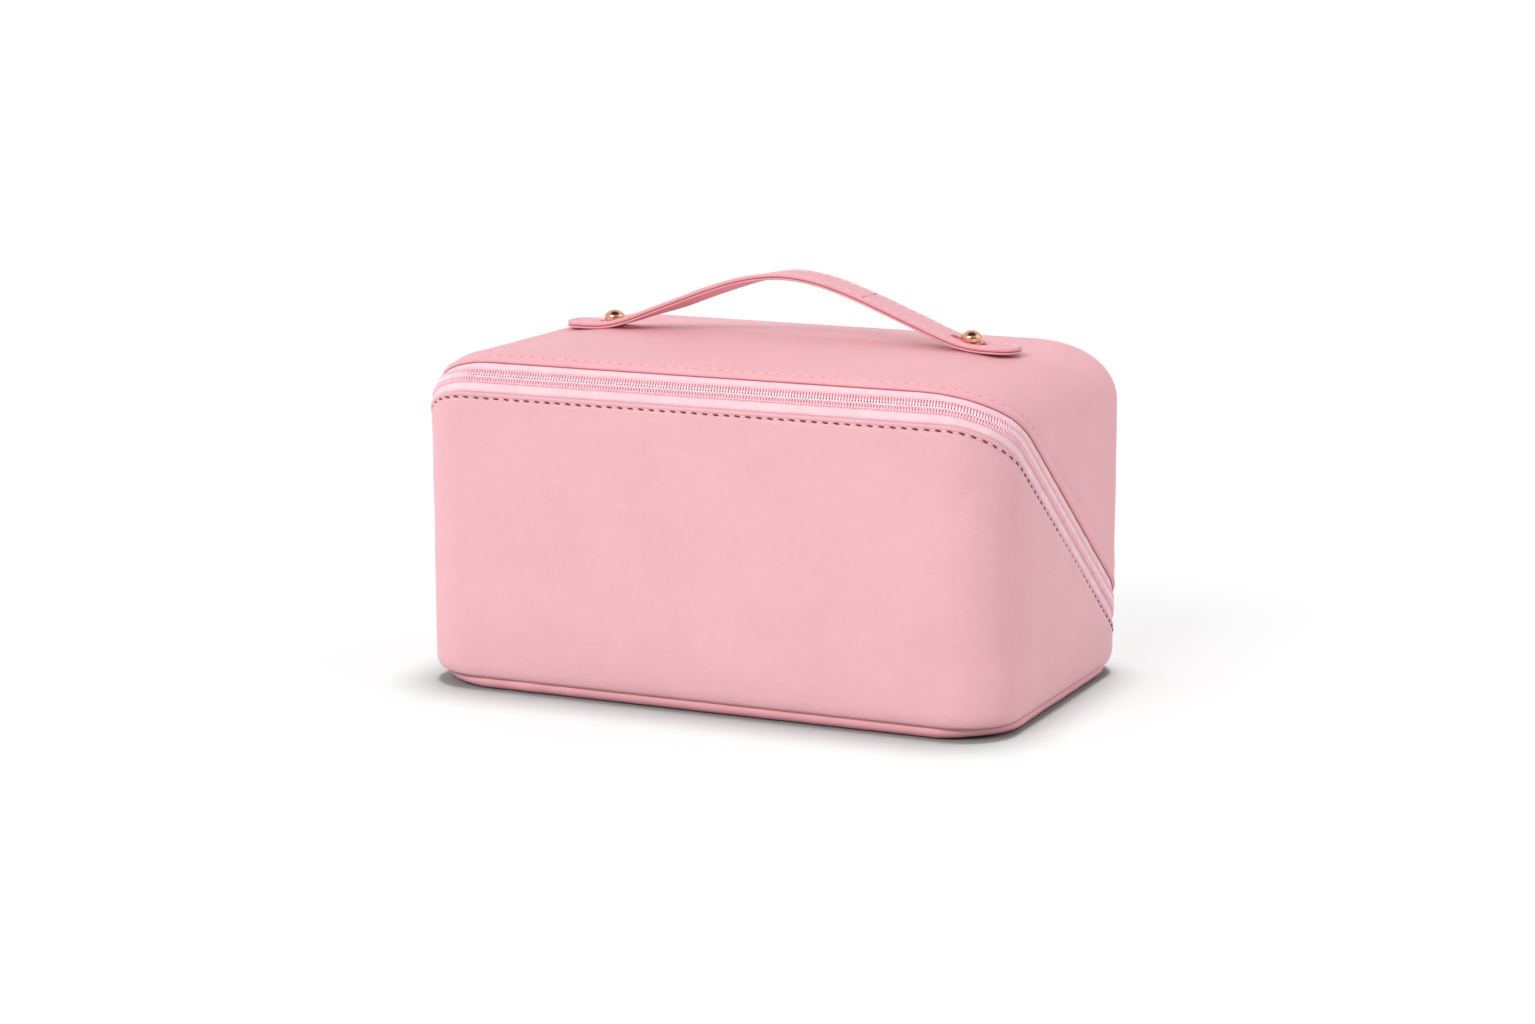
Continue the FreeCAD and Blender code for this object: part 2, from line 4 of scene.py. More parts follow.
import bmesh
import bpy
import numpy as np
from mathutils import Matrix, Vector


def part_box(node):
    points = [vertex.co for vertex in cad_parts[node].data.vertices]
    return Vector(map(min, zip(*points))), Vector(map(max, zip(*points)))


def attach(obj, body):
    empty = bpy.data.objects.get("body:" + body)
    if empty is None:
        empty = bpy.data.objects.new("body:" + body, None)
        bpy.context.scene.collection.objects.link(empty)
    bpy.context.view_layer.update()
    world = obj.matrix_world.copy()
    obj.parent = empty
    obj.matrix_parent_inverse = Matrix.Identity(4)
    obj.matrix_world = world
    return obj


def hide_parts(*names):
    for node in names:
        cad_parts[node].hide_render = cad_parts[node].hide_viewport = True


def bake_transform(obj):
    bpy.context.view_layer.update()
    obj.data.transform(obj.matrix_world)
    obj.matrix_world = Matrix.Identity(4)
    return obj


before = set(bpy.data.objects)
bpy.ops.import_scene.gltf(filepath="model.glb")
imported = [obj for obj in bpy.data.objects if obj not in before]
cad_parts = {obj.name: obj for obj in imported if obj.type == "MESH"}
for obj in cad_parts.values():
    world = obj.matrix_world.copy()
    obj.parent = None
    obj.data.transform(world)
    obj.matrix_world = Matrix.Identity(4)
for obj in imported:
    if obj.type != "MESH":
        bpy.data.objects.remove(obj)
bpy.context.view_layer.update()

MM = 0.001

# ---------------------------------------------------------------- the case's sizes, in millimetres
HALF_L = 120.9
HALF_D = 72.5
CORNER = 22.0
WALL_FOOT = 4.6
WALL_TOP = 112.0
TOP_RISE = 18.0
END_RISE = 3.8
REAR_LIFT = 0.007
TOP_TURN = math.radians(87.0)
TOP_INSET = (29.2, 11.0)
TOP_CORNER = 12.0
FOOT_INSET_LEFT = 3.6
FOOT_INSET_RIGHT = 2.2
FOOT_INSET_Y = 2.2
FOOT_HEIGHT = 6.0
TOP_TILT = -0.005
CROWN = 2.6
ZIP_SIN = 0.6
ZIP_COS = 0.8
ZIP_FRONT_Z = 124.4
TRAY_EDGE = -6.2
SEAM_BELOW = 1.9
LID_EDGE = 5.8
REAR_TRAY_EDGE = -0.5
REAR_LID_EDGE = 0.7
REAR_START = 104.0
REAR_END = 90.0
FOLD_Z = 16.55
STRAP_Y = 12.0
STUD_X = 76.3
ZIP_END_X = 98.5
TRAY_ROLL = 1.05
LID_ROLL = 1.25
TAPE_W = (0.5, 9.5)
TAPE_DEPTH = (0.6, 2.5)
TAPE_THICKNESS = 0.5
TOOTH_PITCH = 1.15
STITCH_PITCH = 4.4
LINING_DEPTH = (2.75, 3.5)
QUILT_PITCH = 22.0
LOOPS = 8
PIPING = 1.4


# ---------------------------------------------------------------- small helpers
def smooth(a, b, x):
    t = np.clip((np.asarray(x, float) - a) / (b - a), 0.0, 1.0)
    return t * t * (3.0 - 2.0 * t)


def wobble(x, seed, waves=7, low=1.0, high=9.0):
    """A smooth, irregular line from a few fixed sine waves, about -1 to 1, over x from 0 to 1."""
    rng = np.random.default_rng(seed)
    x = np.asarray(x, float)
    total = np.zeros_like(x)
    for _ in range(waves):
        k = rng.integers(int(low), int(high) + 1)
        total = total + rng.uniform(0.4, 1.0) * np.sin(2 * math.pi * k * x + rng.uniform(0, 6.28))
    return total / (0.55 * waves)


def new_object(name, verts, faces, material, smooth_faces=True, scale=MM):
    mesh = bpy.data.meshes.new(name)
    mesh.from_pydata((np.asarray(verts, float) * scale).tolist(), [], faces)
    mesh.validate()
    mesh.update()
    if smooth_faces:
        mesh.polygons.foreach_set("use_smooth", [True] * len(mesh.polygons))
    obj = bpy.data.objects.new(name, mesh)
    bpy.context.scene.collection.objects.link(obj)
    obj.data.materials.append(material)
    return obj


@contextmanager
def edited(obj):
    """The piece's mesh, open for editing."""
    bm = bmesh.new()
    bm.from_mesh(obj.data)
    yield bm
    bm.to_mesh(obj.data)
    bm.free()


def outward(obj):
    """Point every face outwards."""
    with edited(obj) as bm:
        bmesh.ops.recalc_face_normals(bm, faces=bm.faces)
    return obj


def clean(obj, distance=0.02 * MM):
    """Merge points that meet, drop flat faces and point every face outwards."""
    with edited(obj) as bm:
        bmesh.ops.remove_doubles(bm, verts=bm.verts, dist=distance)
        bmesh.ops.dissolve_degenerate(bm, edges=bm.edges, dist=distance * 0.2)
        bmesh.ops.recalc_face_normals(bm, faces=bm.faces)
    obj.data.polygons.foreach_set("use_smooth", [True] * len(obj.data.polygons))
    obj.data.update()
    return obj


def sharpen(obj, degrees):
    """Keep edges that turn more than this crisp."""
    with edited(obj) as bm:
        for edge in bm.edges:
            edge.smooth = len(edge.link_faces) != 2 or edge.calc_face_angle(0.0) < math.radians(degrees)
    return obj


def grid_faces(rows, cols, wrap_rows=False, wrap_cols=False):
    """Quads of a grid whose point (r, c) has index r * cols + c."""
    faces = []
    for r in range(rows if wrap_rows else rows - 1):
        r2 = (r + 1) % rows
        for c in range(cols if wrap_cols else cols - 1):
            c2 = (c + 1) % cols
            faces.append((r * cols + c, r2 * cols + c, r2 * cols + c2, r * cols + c2))
    return faces


def unit(v):
    return v / np.maximum(np.linalg.norm(v, axis=-1, keepdims=True), 1e-9)


def skin(name, rows, material, wrap_rows=False, wrap_cols=True, crisp=None):
    """A mesh from rows of points, which may close on themselves either way."""
    grid = np.stack(rows, axis=0)
    faces = grid_faces(grid.shape[0], grid.shape[1], wrap_rows, wrap_cols)
    obj = clean(new_object(name, grid.reshape(-1, 3), faces, material))
    return obj if crisp is None else sharpen(obj, crisp)


def tube(name, rows, material, merge=0.02 * MM, crisp=None):
    """A tube from rows that run along it, with both ends closed."""
    grid = np.stack(rows, axis=0)
    count, length = grid.shape[:2]
    faces = grid_faces(count, length, True, False)
    faces.append(tuple(j * length for j in range(count)))
    faces.append(tuple(j * length + length - 1 for j in reversed(range(count))))
    obj = clean(new_object(name, grid.reshape(-1, 3), faces, material), merge)
    return obj if crisp is None else sharpen(obj, crisp)


def xyz(x, y, z):
    """Points from their coordinates, any of which may be one number for all of them."""
    return np.stack(np.broadcast_arrays(x, y, z), axis=-1).astype(float)


def runs_of(points):
    """The run along a line at each of its points."""
    return np.concatenate([[0.0], np.cumsum(np.linalg.norm(np.diff(points, axis=0), axis=1))])


def at_run(at, s, points):
    """A line's points at the runs asked for, where s is the run at each given point."""
    return np.stack([np.interp(at, s, points[:, k]) for k in range(3)], axis=1)


def put(obj, body, slot, *stands_for):
    """Give a piece its body and hide the CAD nodes that it stands for. The slot is not used."""
    if stands_for:
        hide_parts(*stands_for)
    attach(obj, body)
    return obj


# ---------------------------------------------------------------- materials
def linear(rgb):
    out = []
    for c in rgb:
        c = c / 255.0
        out.append(c / 12.92 if c <= 0.04045 else ((c + 0.055) / 1.055) ** 2.4)
    return tuple(out) + (1.0,)


def add_node(tree, kind, inputs=None, **settings):
    """A new node; each input, by name or number, takes a value or another node's output."""
    node = tree.nodes.new(kind)
    for key, value in settings.items():
        setattr(node, key, value)
    for key, value in (inputs or {}).items():
        if isinstance(value, bpy.types.NodeSocket):
            tree.links.new(value, node.inputs[key])
        else:
            node.inputs[key].default_value = value
    return node


class Nodes:
    """A short way to write a material's node tree."""

    def __init__(self, name, rgb, rough, **sockets):
        self.material = bpy.data.materials.new(name)
        self.material.use_nodes = True
        self.tree = self.material.node_tree
        self.shader = self.tree.nodes["Principled BSDF"]
        self.shader.inputs["Base Color"].default_value = linear(rgb)
        self.shader.inputs["Roughness"].default_value = rough
        for key, value in sockets.items():
            self.shader.inputs[key.replace("_", " ")].default_value = value
        self.rgb = rgb
        self.coords = self.add("ShaderNodeTexCoord").outputs["Object"]
        self.normal = None

    def add(self, kind, inputs=None, **settings):
        return add_node(self.tree, kind, inputs, **settings)

    def link(self, output, name):
        self.tree.links.new(output, self.shader.inputs[name])

    def stretched(self, stretch):
        if stretch is None:
            return self.coords
        return self.add("ShaderNodeMapping", {"Vector": self.coords, "Scale": stretch}).outputs["Vector"]

    def noise(self, scale, detail=3.0, rough=0.5, stretch=None, distortion=0.0):
        inputs = {"Vector": self.stretched(stretch), "Scale": scale, "Detail": detail, "Roughness": rough,
                  "Distortion": distortion}
        return self.add("ShaderNodeTexNoise", inputs).outputs["Fac"]

    def voronoi(self, scale, feature="F1"):
        inputs = {"Vector": self.coords, "Scale": scale}
        return self.add("ShaderNodeTexVoronoi", inputs, feature=feature).outputs["Distance"]

    def wave(self, scale, distortion, stretch):
        inputs = {"Vector": self.stretched(stretch), "Scale": scale, "Distortion": distortion}
        return self.add("ShaderNodeTexWave", inputs, bands_direction="DIAGONAL").outputs["Fac"]

    def math(self, operation, a, b):
        return self.add("ShaderNodeMath", {0: a, 1: b}, operation=operation).outputs[0]

    def ramp(self, fac, stops):
        """A colour ramp from (position, rgb) stops."""
        node = self.add("ShaderNodeValToRGB", {"Fac": fac})
        for element, (position, rgb) in zip(node.color_ramp.elements, stops):
            element.position = position
            element.color = linear(rgb)
        return node.outputs["Color"]

    def mottle(self, fac, amount):
        """The base colour, a little darker and lighter from place to place."""
        dark = tuple(c * (1.0 - amount) for c in self.rgb)
        light = tuple(min(255.0, c * (1.0 + amount * 0.6)) for c in self.rgb)
        self.link(self.ramp(fac, [(0.35, dark), (0.65, light)]), "Base Color")

    def roughness(self, fac, low, high):
        node = self.add("ShaderNodeMapRange", {"Value": fac, "To Min": low, "To Max": high})
        self.link(node.outputs["Result"], "Roughness")

    def bump(self, height, strength, distance):
        inputs = {"Strength": strength, "Distance": distance, "Height": height}
        if self.normal is not None:
            inputs["Normal"] = self.normal
        self.normal = self.add("ShaderNodeBump", inputs).outputs["Normal"]
        self.link(self.normal, "Normal")


def leather(name, rgb, rough=0.5, grain=0.42, mottle=0.022):
    """Smooth, fine-grained imitation leather with a soft sheen and slightly uneven colour."""
    n = Nodes(name, rgb, rough, Specular_IOR_Level=0.34, Sheen_Weight=0.06, Sheen_Roughness=0.4)
    cloud = n.noise(34.0, 4.0, 0.55)
    fibre = n.noise(240.0, 3.0, 0.6, stretch=(1.0, 1.0, 2.4), distortion=0.6)
    n.mottle(n.math("ADD", n.math("MULTIPLY", cloud, 0.55), n.math("MULTIPLY", fibre, 0.45)), mottle)
    n.roughness(fibre, rough - 0.05, rough + 0.08)
    n.bump(n.noise(420.0, 3.0, 0.6, distortion=0.8), grain * 0.6, 0.00025)
    n.bump(n.voronoi(1500.0), grain, 0.00008)
    return n.material


def woven(name, rgb, rough=0.75, scale=900.0, stretch=(1.0, 1.0, 1.0), sheen=0.3):
    """Fine woven cloth: crossed threads, sheen and a little unevenness."""
    n = Nodes(name, rgb, rough, Specular_IOR_Level=0.25, Sheen_Weight=sheen, Sheen_Roughness=0.45)
    warp = n.wave(scale, 0.6, stretch)
    weft = n.wave(scale, 0.6, (-stretch[0], stretch[1], stretch[2]))
    threads = n.math("MULTIPLY", warp, weft)
    n.mottle(n.math("ADD", n.math("MULTIPLY", n.noise(160.0), 0.7), n.math("MULTIPLY", threads, 0.3)), 0.05)
    n.bump(threads, 0.35, 0.00012)
    return n.material


def metal(name, rgb, rough):
    """Plated metal with faint polishing marks."""
    n = Nodes(name, rgb, rough, Metallic=1.0)
    n.roughness(n.noise(500.0, 2.0, 0.5, stretch=(1.0, 1.0, 6.0)), rough * 0.8, rough * 1.5)
    n.mottle(n.noise(90.0), 0.03)
    return n.material


def moulded(name, rgb, rough=0.4, mottle=0.03):
    """Moulded nylon or rubber thread, lightly uneven."""
    n = Nodes(name, rgb, rough, Specular_IOR_Level=0.3)
    n.mottle(n.noise(380.0), mottle)
    n.bump(n.noise(1600.0), 0.12, 0.00005)
    return n.material


def board(name, rgb):
    """Grey fibre board with flecks."""
    n = Nodes(name, rgb, 0.9, Specular_IOR_Level=0.15)
    n.mottle(n.noise(900.0, 4.0, 0.7), 0.16)
    n.bump(n.noise(1300.0, 3.0, 0.7), 0.3, 0.0001)
    return n.material


SKIN = (226, 171, 178)
cover_pink = leather("cover_pink", SKIN)
lid_pink = leather("lid_pink", (229, 167, 175))
base_pink = leather("base_pink", (233, 165, 172), rough=0.55)
strap_pink = leather("strap_pink", (227, 165, 172), grain=0.18)
# painted shade: a darker pink laid in the strap's edge groove and in the lid's seam valley
crease_shade_pink = leather("crease_shade_pink", (196, 114, 126), grain=0.1)
tape_pink = woven("tape_pink", (246, 208, 216), scale=1400.0, sheen=0.08)
# painted shade: the tape under the coil is darker so the gaps between the teeth read as shadow
shaded_bed_pink = woven("shaded_bed_pink", (212, 128, 144), scale=1400.0, sheen=0.05)
coil_pink = moulded("coil_pink", (248, 190, 202), 0.5)
# painted highlight: the coil's heads are paler than its turns, a bright line along the zip's middle
highlight_head_pink = moulded("highlight_head_pink", (255, 226, 232), 0.45)
# both threads are paler than the skin they are sewn into; the extra paleness is a painted highlight on the
# puckered stitches
pink_thread_highlight = moulded("pink_thread_highlight", (243, 190, 198), 0.6)
pale_thread_highlight = moulded("pale_thread_highlight", (246, 200, 206), 0.6)
# painted shade: dark maroon for the needle holes and the shadow between stitches
stitch_shade_maroon = moulded("stitch_shade_maroon", (104, 36, 46), 0.8)
# painted shadow: the dark maroon line under the lid's bead
bead_shadow_maroon = moulded("bead_shadow_maroon", (172, 90, 102), 0.8)
lining_pink = woven("lining_pink", (238, 190, 197), 0.6, 700.0, sheen=0.5)
flap_pink = leather("flap_pink", (240, 188, 196), rough=0.5)
binding_pink = woven("binding_pink", (224, 150, 162), 0.6, 1100.0)
elastic_pink = woven("elastic_pink", (236, 170, 182), 0.7, 1300.0)
board_grey = board("board_grey", (172, 166, 158))
rose_gold = metal("rose_gold", (232, 172, 142), 0.09)
steel_pale = metal("steel_pale", (214, 206, 200), 0.3)


def mesh_net():
    """Open net: fine pink threads with holes between them."""
    n = Nodes("net_pink", (236, 178, 188), 0.6, Specular_IOR_Level=0.3)
    edge = n.voronoi(620.0, "DISTANCE_TO_EDGE")
    n.link(n.ramp(edge, [(0.10, (255, 255, 255)), (0.16, (0, 0, 0))]), "Alpha")
    n.mottle(n.noise(300.0), 0.05)
    return n.material


net_pink = mesh_net()


# ---------------------------------------------------------------- the perimeter's stations
def stations(step=1.6):
    """Points round the case, from the back's middle by the right end, front and left end."""
    rows = []
    run_x = int(2 * (HALF_L - CORNER) / step)
    run_y = int(2 * (HALF_D - CORNER) / step)
    turn = int(0.5 * math.pi * CORNER / step)

    def straight(n, start, stop, fixed, axis, normal):
        for i in range(n):
            e = start + (stop - start) * i / n
            rows.append(((e, fixed) if axis == 0 else (fixed, e)) + normal)

    def corner(n, ex, ey, start, stop):
        for i in range(n):
            a = math.radians(start + (stop - start) * i / n)
            rows.append((ex, ey, math.cos(a), math.sin(a)))

    straight(run_x // 2, 0.0, 1.0, 1.0, 0, (0.0, 1.0))
    corner(turn, 1.0, 1.0, 90.0, 0.0)
    straight(run_y, 1.0, -1.0, 1.0, 1, (1.0, 0.0))
    corner(turn, 1.0, -1.0, 0.0, -90.0)
    straight(run_x, 1.0, -1.0, -1.0, 0, (0.0, -1.0))
    corner(turn, -1.0, -1.0, -90.0, -180.0)
    straight(run_y, -1.0, 1.0, -1.0, 1, (-1.0, 0.0))
    corner(turn, -1.0, 1.0, 180.0, 90.0)
    straight(run_x // 2, -1.0, 0.0, 1.0, 0, (0.0, 1.0))
    return np.array(rows)


ST = stations()
NS = len(ST)
ROUND = np.arange(NS) / NS
FOOT_INSET_X = np.where(ST[:, 0] < 0.0, FOOT_INSET_LEFT, FOOT_INSET_RIGHT)


def ring(half_x, half_y, radius):
    """The x and y of a rounded rectangle at every station."""
    x = ST[:, 0] * (half_x - radius) + ST[:, 2] * radius
    return x, ST[:, 1] * (half_y - radius) + ST[:, 3] * radius


def envelope(q):
    """Points of the case's outer skin for one height q in every station: 0-1 wall, 1-2 top edge, 2-3 top."""
    q = np.broadcast_to(np.asarray(q, float), (NS,))
    wall = np.clip(q, 0.0, 1.0)
    rise = TOP_RISE + END_RISE * np.abs(ST[:, 2])
    z = WALL_FOOT + (WALL_TOP + TOP_RISE - rise - WALL_FOOT) * wall
    t = np.clip((WALL_FOOT + FOOT_HEIGHT - z) / FOOT_HEIGHT, 0.0, 1.0)
    foot = 1.0 - np.sqrt(1.0 - (0.985 * t) ** 2)
    a = TOP_TURN * np.clip(q - 1.0, 0.0, 1.0)
    turn = 1.0 - np.cos(a)
    half_x = HALF_L - FOOT_INSET_X * foot - TOP_INSET[0] * turn
    half_y = HALF_D - FOOT_INSET_Y * foot - TOP_INSET[1] * turn
    radius = CORNER + (TOP_CORNER - CORNER) * turn / (1.0 - math.cos(TOP_TURN))
    z = z + rise * np.sin(a)
    full_x = HALF_L - TOP_INSET[0] * (1.0 - math.cos(TOP_TURN))
    full_y = HALF_D - TOP_INSET[1] * (1.0 - math.cos(TOP_TURN))
    inner = np.clip(q - 2.0, 0.0, 1.0)
    half_x = half_x - full_y * inner
    half_y = half_y - full_y * inner
    radius = radius * (1.0 - inner)
    x, y = ring(half_x, half_y, radius)
    crown = CROWN * (1.0 - np.clip(np.abs(x) / full_x, 0, 1) ** 3) * (1.0 - np.clip(y / full_y, -1, 1) ** 2)
    z = z + crown * smooth(2.0, 2.15, q) + TOP_TILT * x * smooth(1.0, 2.0, q)
    z = z + REAR_LIFT * (y + HALF_D - TOP_INSET[1]) * smooth(1.0, 2.0, q)
    return xyz(x, y, z)


def zip_w(p):
    """Height of a point above the zip's slanted plane."""
    return ZIP_SIN * (p[..., 1] + HALF_D) + ZIP_COS * (p[..., 2] - ZIP_FRONT_Z)


def envelope_table():
    """The skin sampled finely: heights, points, outward normals and height above the zip plane."""
    q = np.concatenate([np.linspace(0, 1, 220, endpoint=False), np.linspace(1, 2, 90, endpoint=False),
                        np.linspace(2, 2.98, 40)])
    points = np.stack([envelope(value) for value in q], axis=1)
    along = np.roll(points, -1, axis=0) - np.roll(points, 1, axis=0)
    up = np.gradient(points, axis=1)
    normals = unit(np.cross(up, along))
    return q, points, normals, zip_w(points)


TQ, TP, TN, TW = envelope_table()
if TN[0, 100, 1] < 0:
    TN = -TN


def q_at(w):
    """The height q where each station's wall is w above the zip plane."""
    w = np.broadcast_to(np.asarray(w, float), (NS,))
    return np.array([np.interp(w[i], TW[i], TQ) for i in range(NS)])


def at_q(q):
    """Point and normal of every station at height q."""
    q = np.broadcast_to(np.asarray(q, float), (NS,))
    point = np.empty((NS, 3))
    normal = np.empty((NS, 3))
    for k in range(3):
        for i in range(NS):
            point[i, k] = np.interp(q[i], TQ, TP[i, :, k])
            normal[i, k] = np.interp(q[i], TQ, TN[i, :, k])
    return point, unit(normal)


def at_w(w):
    return at_q(q_at(w))


def up_slope(normal):
    """The direction in the skin in which the zip plane's height grows fastest, and how fast."""
    g = np.array([0.0, ZIP_SIN, ZIP_COS])
    t = g - (normal @ g)[:, None] * normal
    size = np.linalg.norm(t, axis=1)
    return t / np.maximum(size, 1e-6)[:, None], size


# 1 on the back between the zip's ends, 0 elsewhere, with smooth ends
BACK = 1.0 - smooth(REAR_END, REAR_START, np.abs(envelope(0.5)[:, 0]))
BACK = np.where(ST[:, 1] > 0.99, BACK, 0.0)
W_TRAY = TRAY_EDGE + (REAR_TRAY_EDGE - TRAY_EDGE) * BACK
W_LID = LID_EDGE + (REAR_LID_EDGE - LID_EDGE) * BACK
CORNERNESS = 4.0 * (ST[:, 2] * ST[:, 3]) ** 2


# how far each station is from the corners, 0 at a corner and 1 in the middle of a face
FACE = np.where(np.abs(ST[:, 3]) > 0.99, 1.0 - ST[:, 0] ** 2, 0.0)
FACE = np.where(np.abs(ST[:, 2]) > 0.99, 1.0 - ST[:, 1] ** 2, FACE)
LEFT = smooth(0.2, 0.9, -ST[:, 2])
def perimeter():
    """The run round the case's top edge at each station."""
    p = envelope(1.0)
    step = np.linalg.norm(np.roll(p, -1, axis=0) - p, axis=1)
    return np.concatenate([[0.0], np.cumsum(step)[:-1]])


PERIMETER = perimeter()


def pucker(seed, pitch=STITCH_PITCH):
    """The small pull of each stitch along an edge, uneven from stitch to stitch."""
    return 0.5 + 0.5 * np.cos(2 * math.pi * PERIMETER / pitch + 0.6 * wobble(ROUND, seed, low=9, high=30))


# ---------------------------------------------------------------- covers
def tray_swell(w, z):
    """How far the tray's skin stands out of the plain wall at height w, for every station."""
    below = TRAY_EDGE - w
    edge = 0.35 * np.exp(-((below - 0.8) / 0.7) ** 2)
    valley = -0.42 * np.exp(-((below - SEAM_BELOW) / 0.6) ** 2) * (0.75 + 0.35 * pucker(3))
    height = np.clip((z - WALL_FOOT) / 95.0, 0.0, 1.0)
    belly = 1.1 * FACE * np.sin(math.pi * height ** 0.8)
    uneven = 0.16 * wobble(ROUND * 1.0 + z / 260.0, 11) + 0.1 * wobble(ROUND * 2.0 - z / 170.0, 12)
    proud = 0.25 * LEFT * np.exp(-((below - 2.5) / 5.0) ** 2)
    fade = 1.0 - BACK
    panel = (belly + uneven) * smooth(0.0, 6.0, below) * smooth(5.7, 16.0, z)
    return (edge + valley + proud) * fade + panel + front_corner_ease(w, z)


def front_corner_ease(w, z):
    """The front right corner's skin is drawn in between top and foot, where nothing stiffens it."""
    fr = np.argmin(np.abs(ST[:, 2] - math.sqrt(0.5)) + np.abs(ST[:, 3] + math.sqrt(0.5)))
    t = np.clip(np.abs(PERIMETER - PERIMETER[fr]) / 32.0, 0.0, 1.0)
    return -3.0 * (1.0 - t ** 2) ** 2 * smooth(8.0, 40.0, z) * smooth(-7.0, -30.0, w)


def rolled_edge(w, roll, side):
    """The centre of a rolled edge of this radius, as a height over the zip plane and in the skin."""
    _, n = at_w(w + side * roll * 0.85)
    centre = w + side * roll * up_slope(n)[1]
    return centre, q_at(centre)


def tray_cover():
    """The tray's skin: up the wall, over a folded edge and down inside."""
    roll = TRAY_ROLL
    w_c, q_c = rolled_edge(W_TRAY, roll, -1.0)
    fractions = np.concatenate([np.linspace(0, 0.12, 12), np.linspace(0.15, 0.8, 26)[:-1],
                                np.linspace(0.8, 1.0, 34)])
    rows = []
    for f in fractions:
        p, n = at_q(q_c * f)
        rows.append(p + n * tray_swell(zip_w(p), p[:, 2])[:, None])
    p, n = at_q(q_c)
    t, _ = up_slope(n)
    base = p + n * tray_swell(w_c, p[:, 2])[:, None]
    for angle in np.radians([25, 50, 75, 100, 125, 150, 180]):
        rows.append(base + roll * (math.sin(angle) * t - (1.0 - math.cos(angle)) * n))
    for f in (0.9, 0.6, 0.3, 0.12):
        p, n = at_q(q_c * f)
        rows.append(p - n * 2.0 * roll)
    return skin("tray_cover", rows, cover_pink, wrap_rows=True)


def lid_swell(w, p):
    """How far the lid's skin stands out of the plain envelope."""
    above = w - LID_EDGE
    valley = -0.42 * np.exp(-((above - 3.7) / 0.6) ** 2) * (0.8 + 0.3 * pucker(5))
    ease = 0.25 * np.exp(-((above - 7.0) / 3.0) ** 2)
    z = p[:, 2]
    height = np.clip((z - 20.0) / 95.0, 0.0, 1.0)
    belly = 0.8 * FACE * np.sin(math.pi * height) * (1.0 - smooth(100.0, 122.0, z))
    uneven = 0.14 * wobble(ROUND + z / 220.0, 21) + 0.1 * wobble(ROUND * 2.0 + z / 150.0, 22)
    fade = 1.0 - BACK
    calm = 1.0 - smooth(122.0, 129.0, z)
    top = 0.12 * np.sin(p[:, 0] / 17.0 + 0.8) * np.sin(p[:, 1] / 21.0) * smooth(127.0, 130.0, z)
    return (valley + ease) * fade + (belly + uneven * calm) * smooth(0.0, 8.0, above) + top + stud_rise(p)


def stud_rise(p):
    """The skin lies over each stud's flange and is a little proud of the top there."""
    away = np.hypot(np.abs(p[:, 0]) - STUD_X, p[:, 1] - STRAP_Y)
    return 0.55 * smooth(11.0, 5.5, away) * smooth(120.0, 126.0, p[:, 2])


def lid_cover():
    """The lid's skin: from its rolled lower bead up over the top."""
    roll = LID_ROLL
    w_c, q_c = rolled_edge(W_LID, roll, 1.0)
    rows = []
    for f in (0.75, 0.35):
        p, n = at_q(q_c + (2.0 - q_c) * (1.0 - f))
        rows.append(p - n * 2.2)
    p, n = at_q(q_c)
    t, _ = up_slope(n)
    lift = 0.55 * (1.0 - 0.6 * BACK)
    base = p + n * lift[:, None]
    for angle in np.radians([180, 150, 125, 100, 75, 50, 25]):
        rows.append(base - roll * math.sin(angle) * t - roll * (1.0 - math.cos(angle)) * n)
    fractions = np.concatenate([np.linspace(0, 0.3, 24), np.linspace(0.3, 1.0, 26)[1:]])
    for f in fractions:
        p, n = at_q(q_c + (2.0 - q_c) * f)
        w = zip_w(p)
        bead = lift * np.exp(-((w - w_c) / 2.0) ** 4)
        rows.append(p + n * (lid_swell(w, p) + bead)[:, None])
    for f in list(np.linspace(0.0, 1.0, 30)[1:-1]) + [0.985]:
        p, n = at_q(2.0 + 0.98 * f)
        rows.append(p + n * lid_swell(zip_w(p), p)[:, None])
    rows.append(ridge_points())
    return skin("lid_skin", rows, lid_pink)


def ridge_points(depth=0.0):
    """The line along the top's middle where the rings close, one point per station."""
    p = envelope(3.0)
    top = 0.12 * np.sin(p[:, 0] / 17.0 + 0.8) * np.sin(p[:, 1] / 21.0)
    return p + np.array([0.0, 0.0, 1.0]) * (top[:, None] - depth)


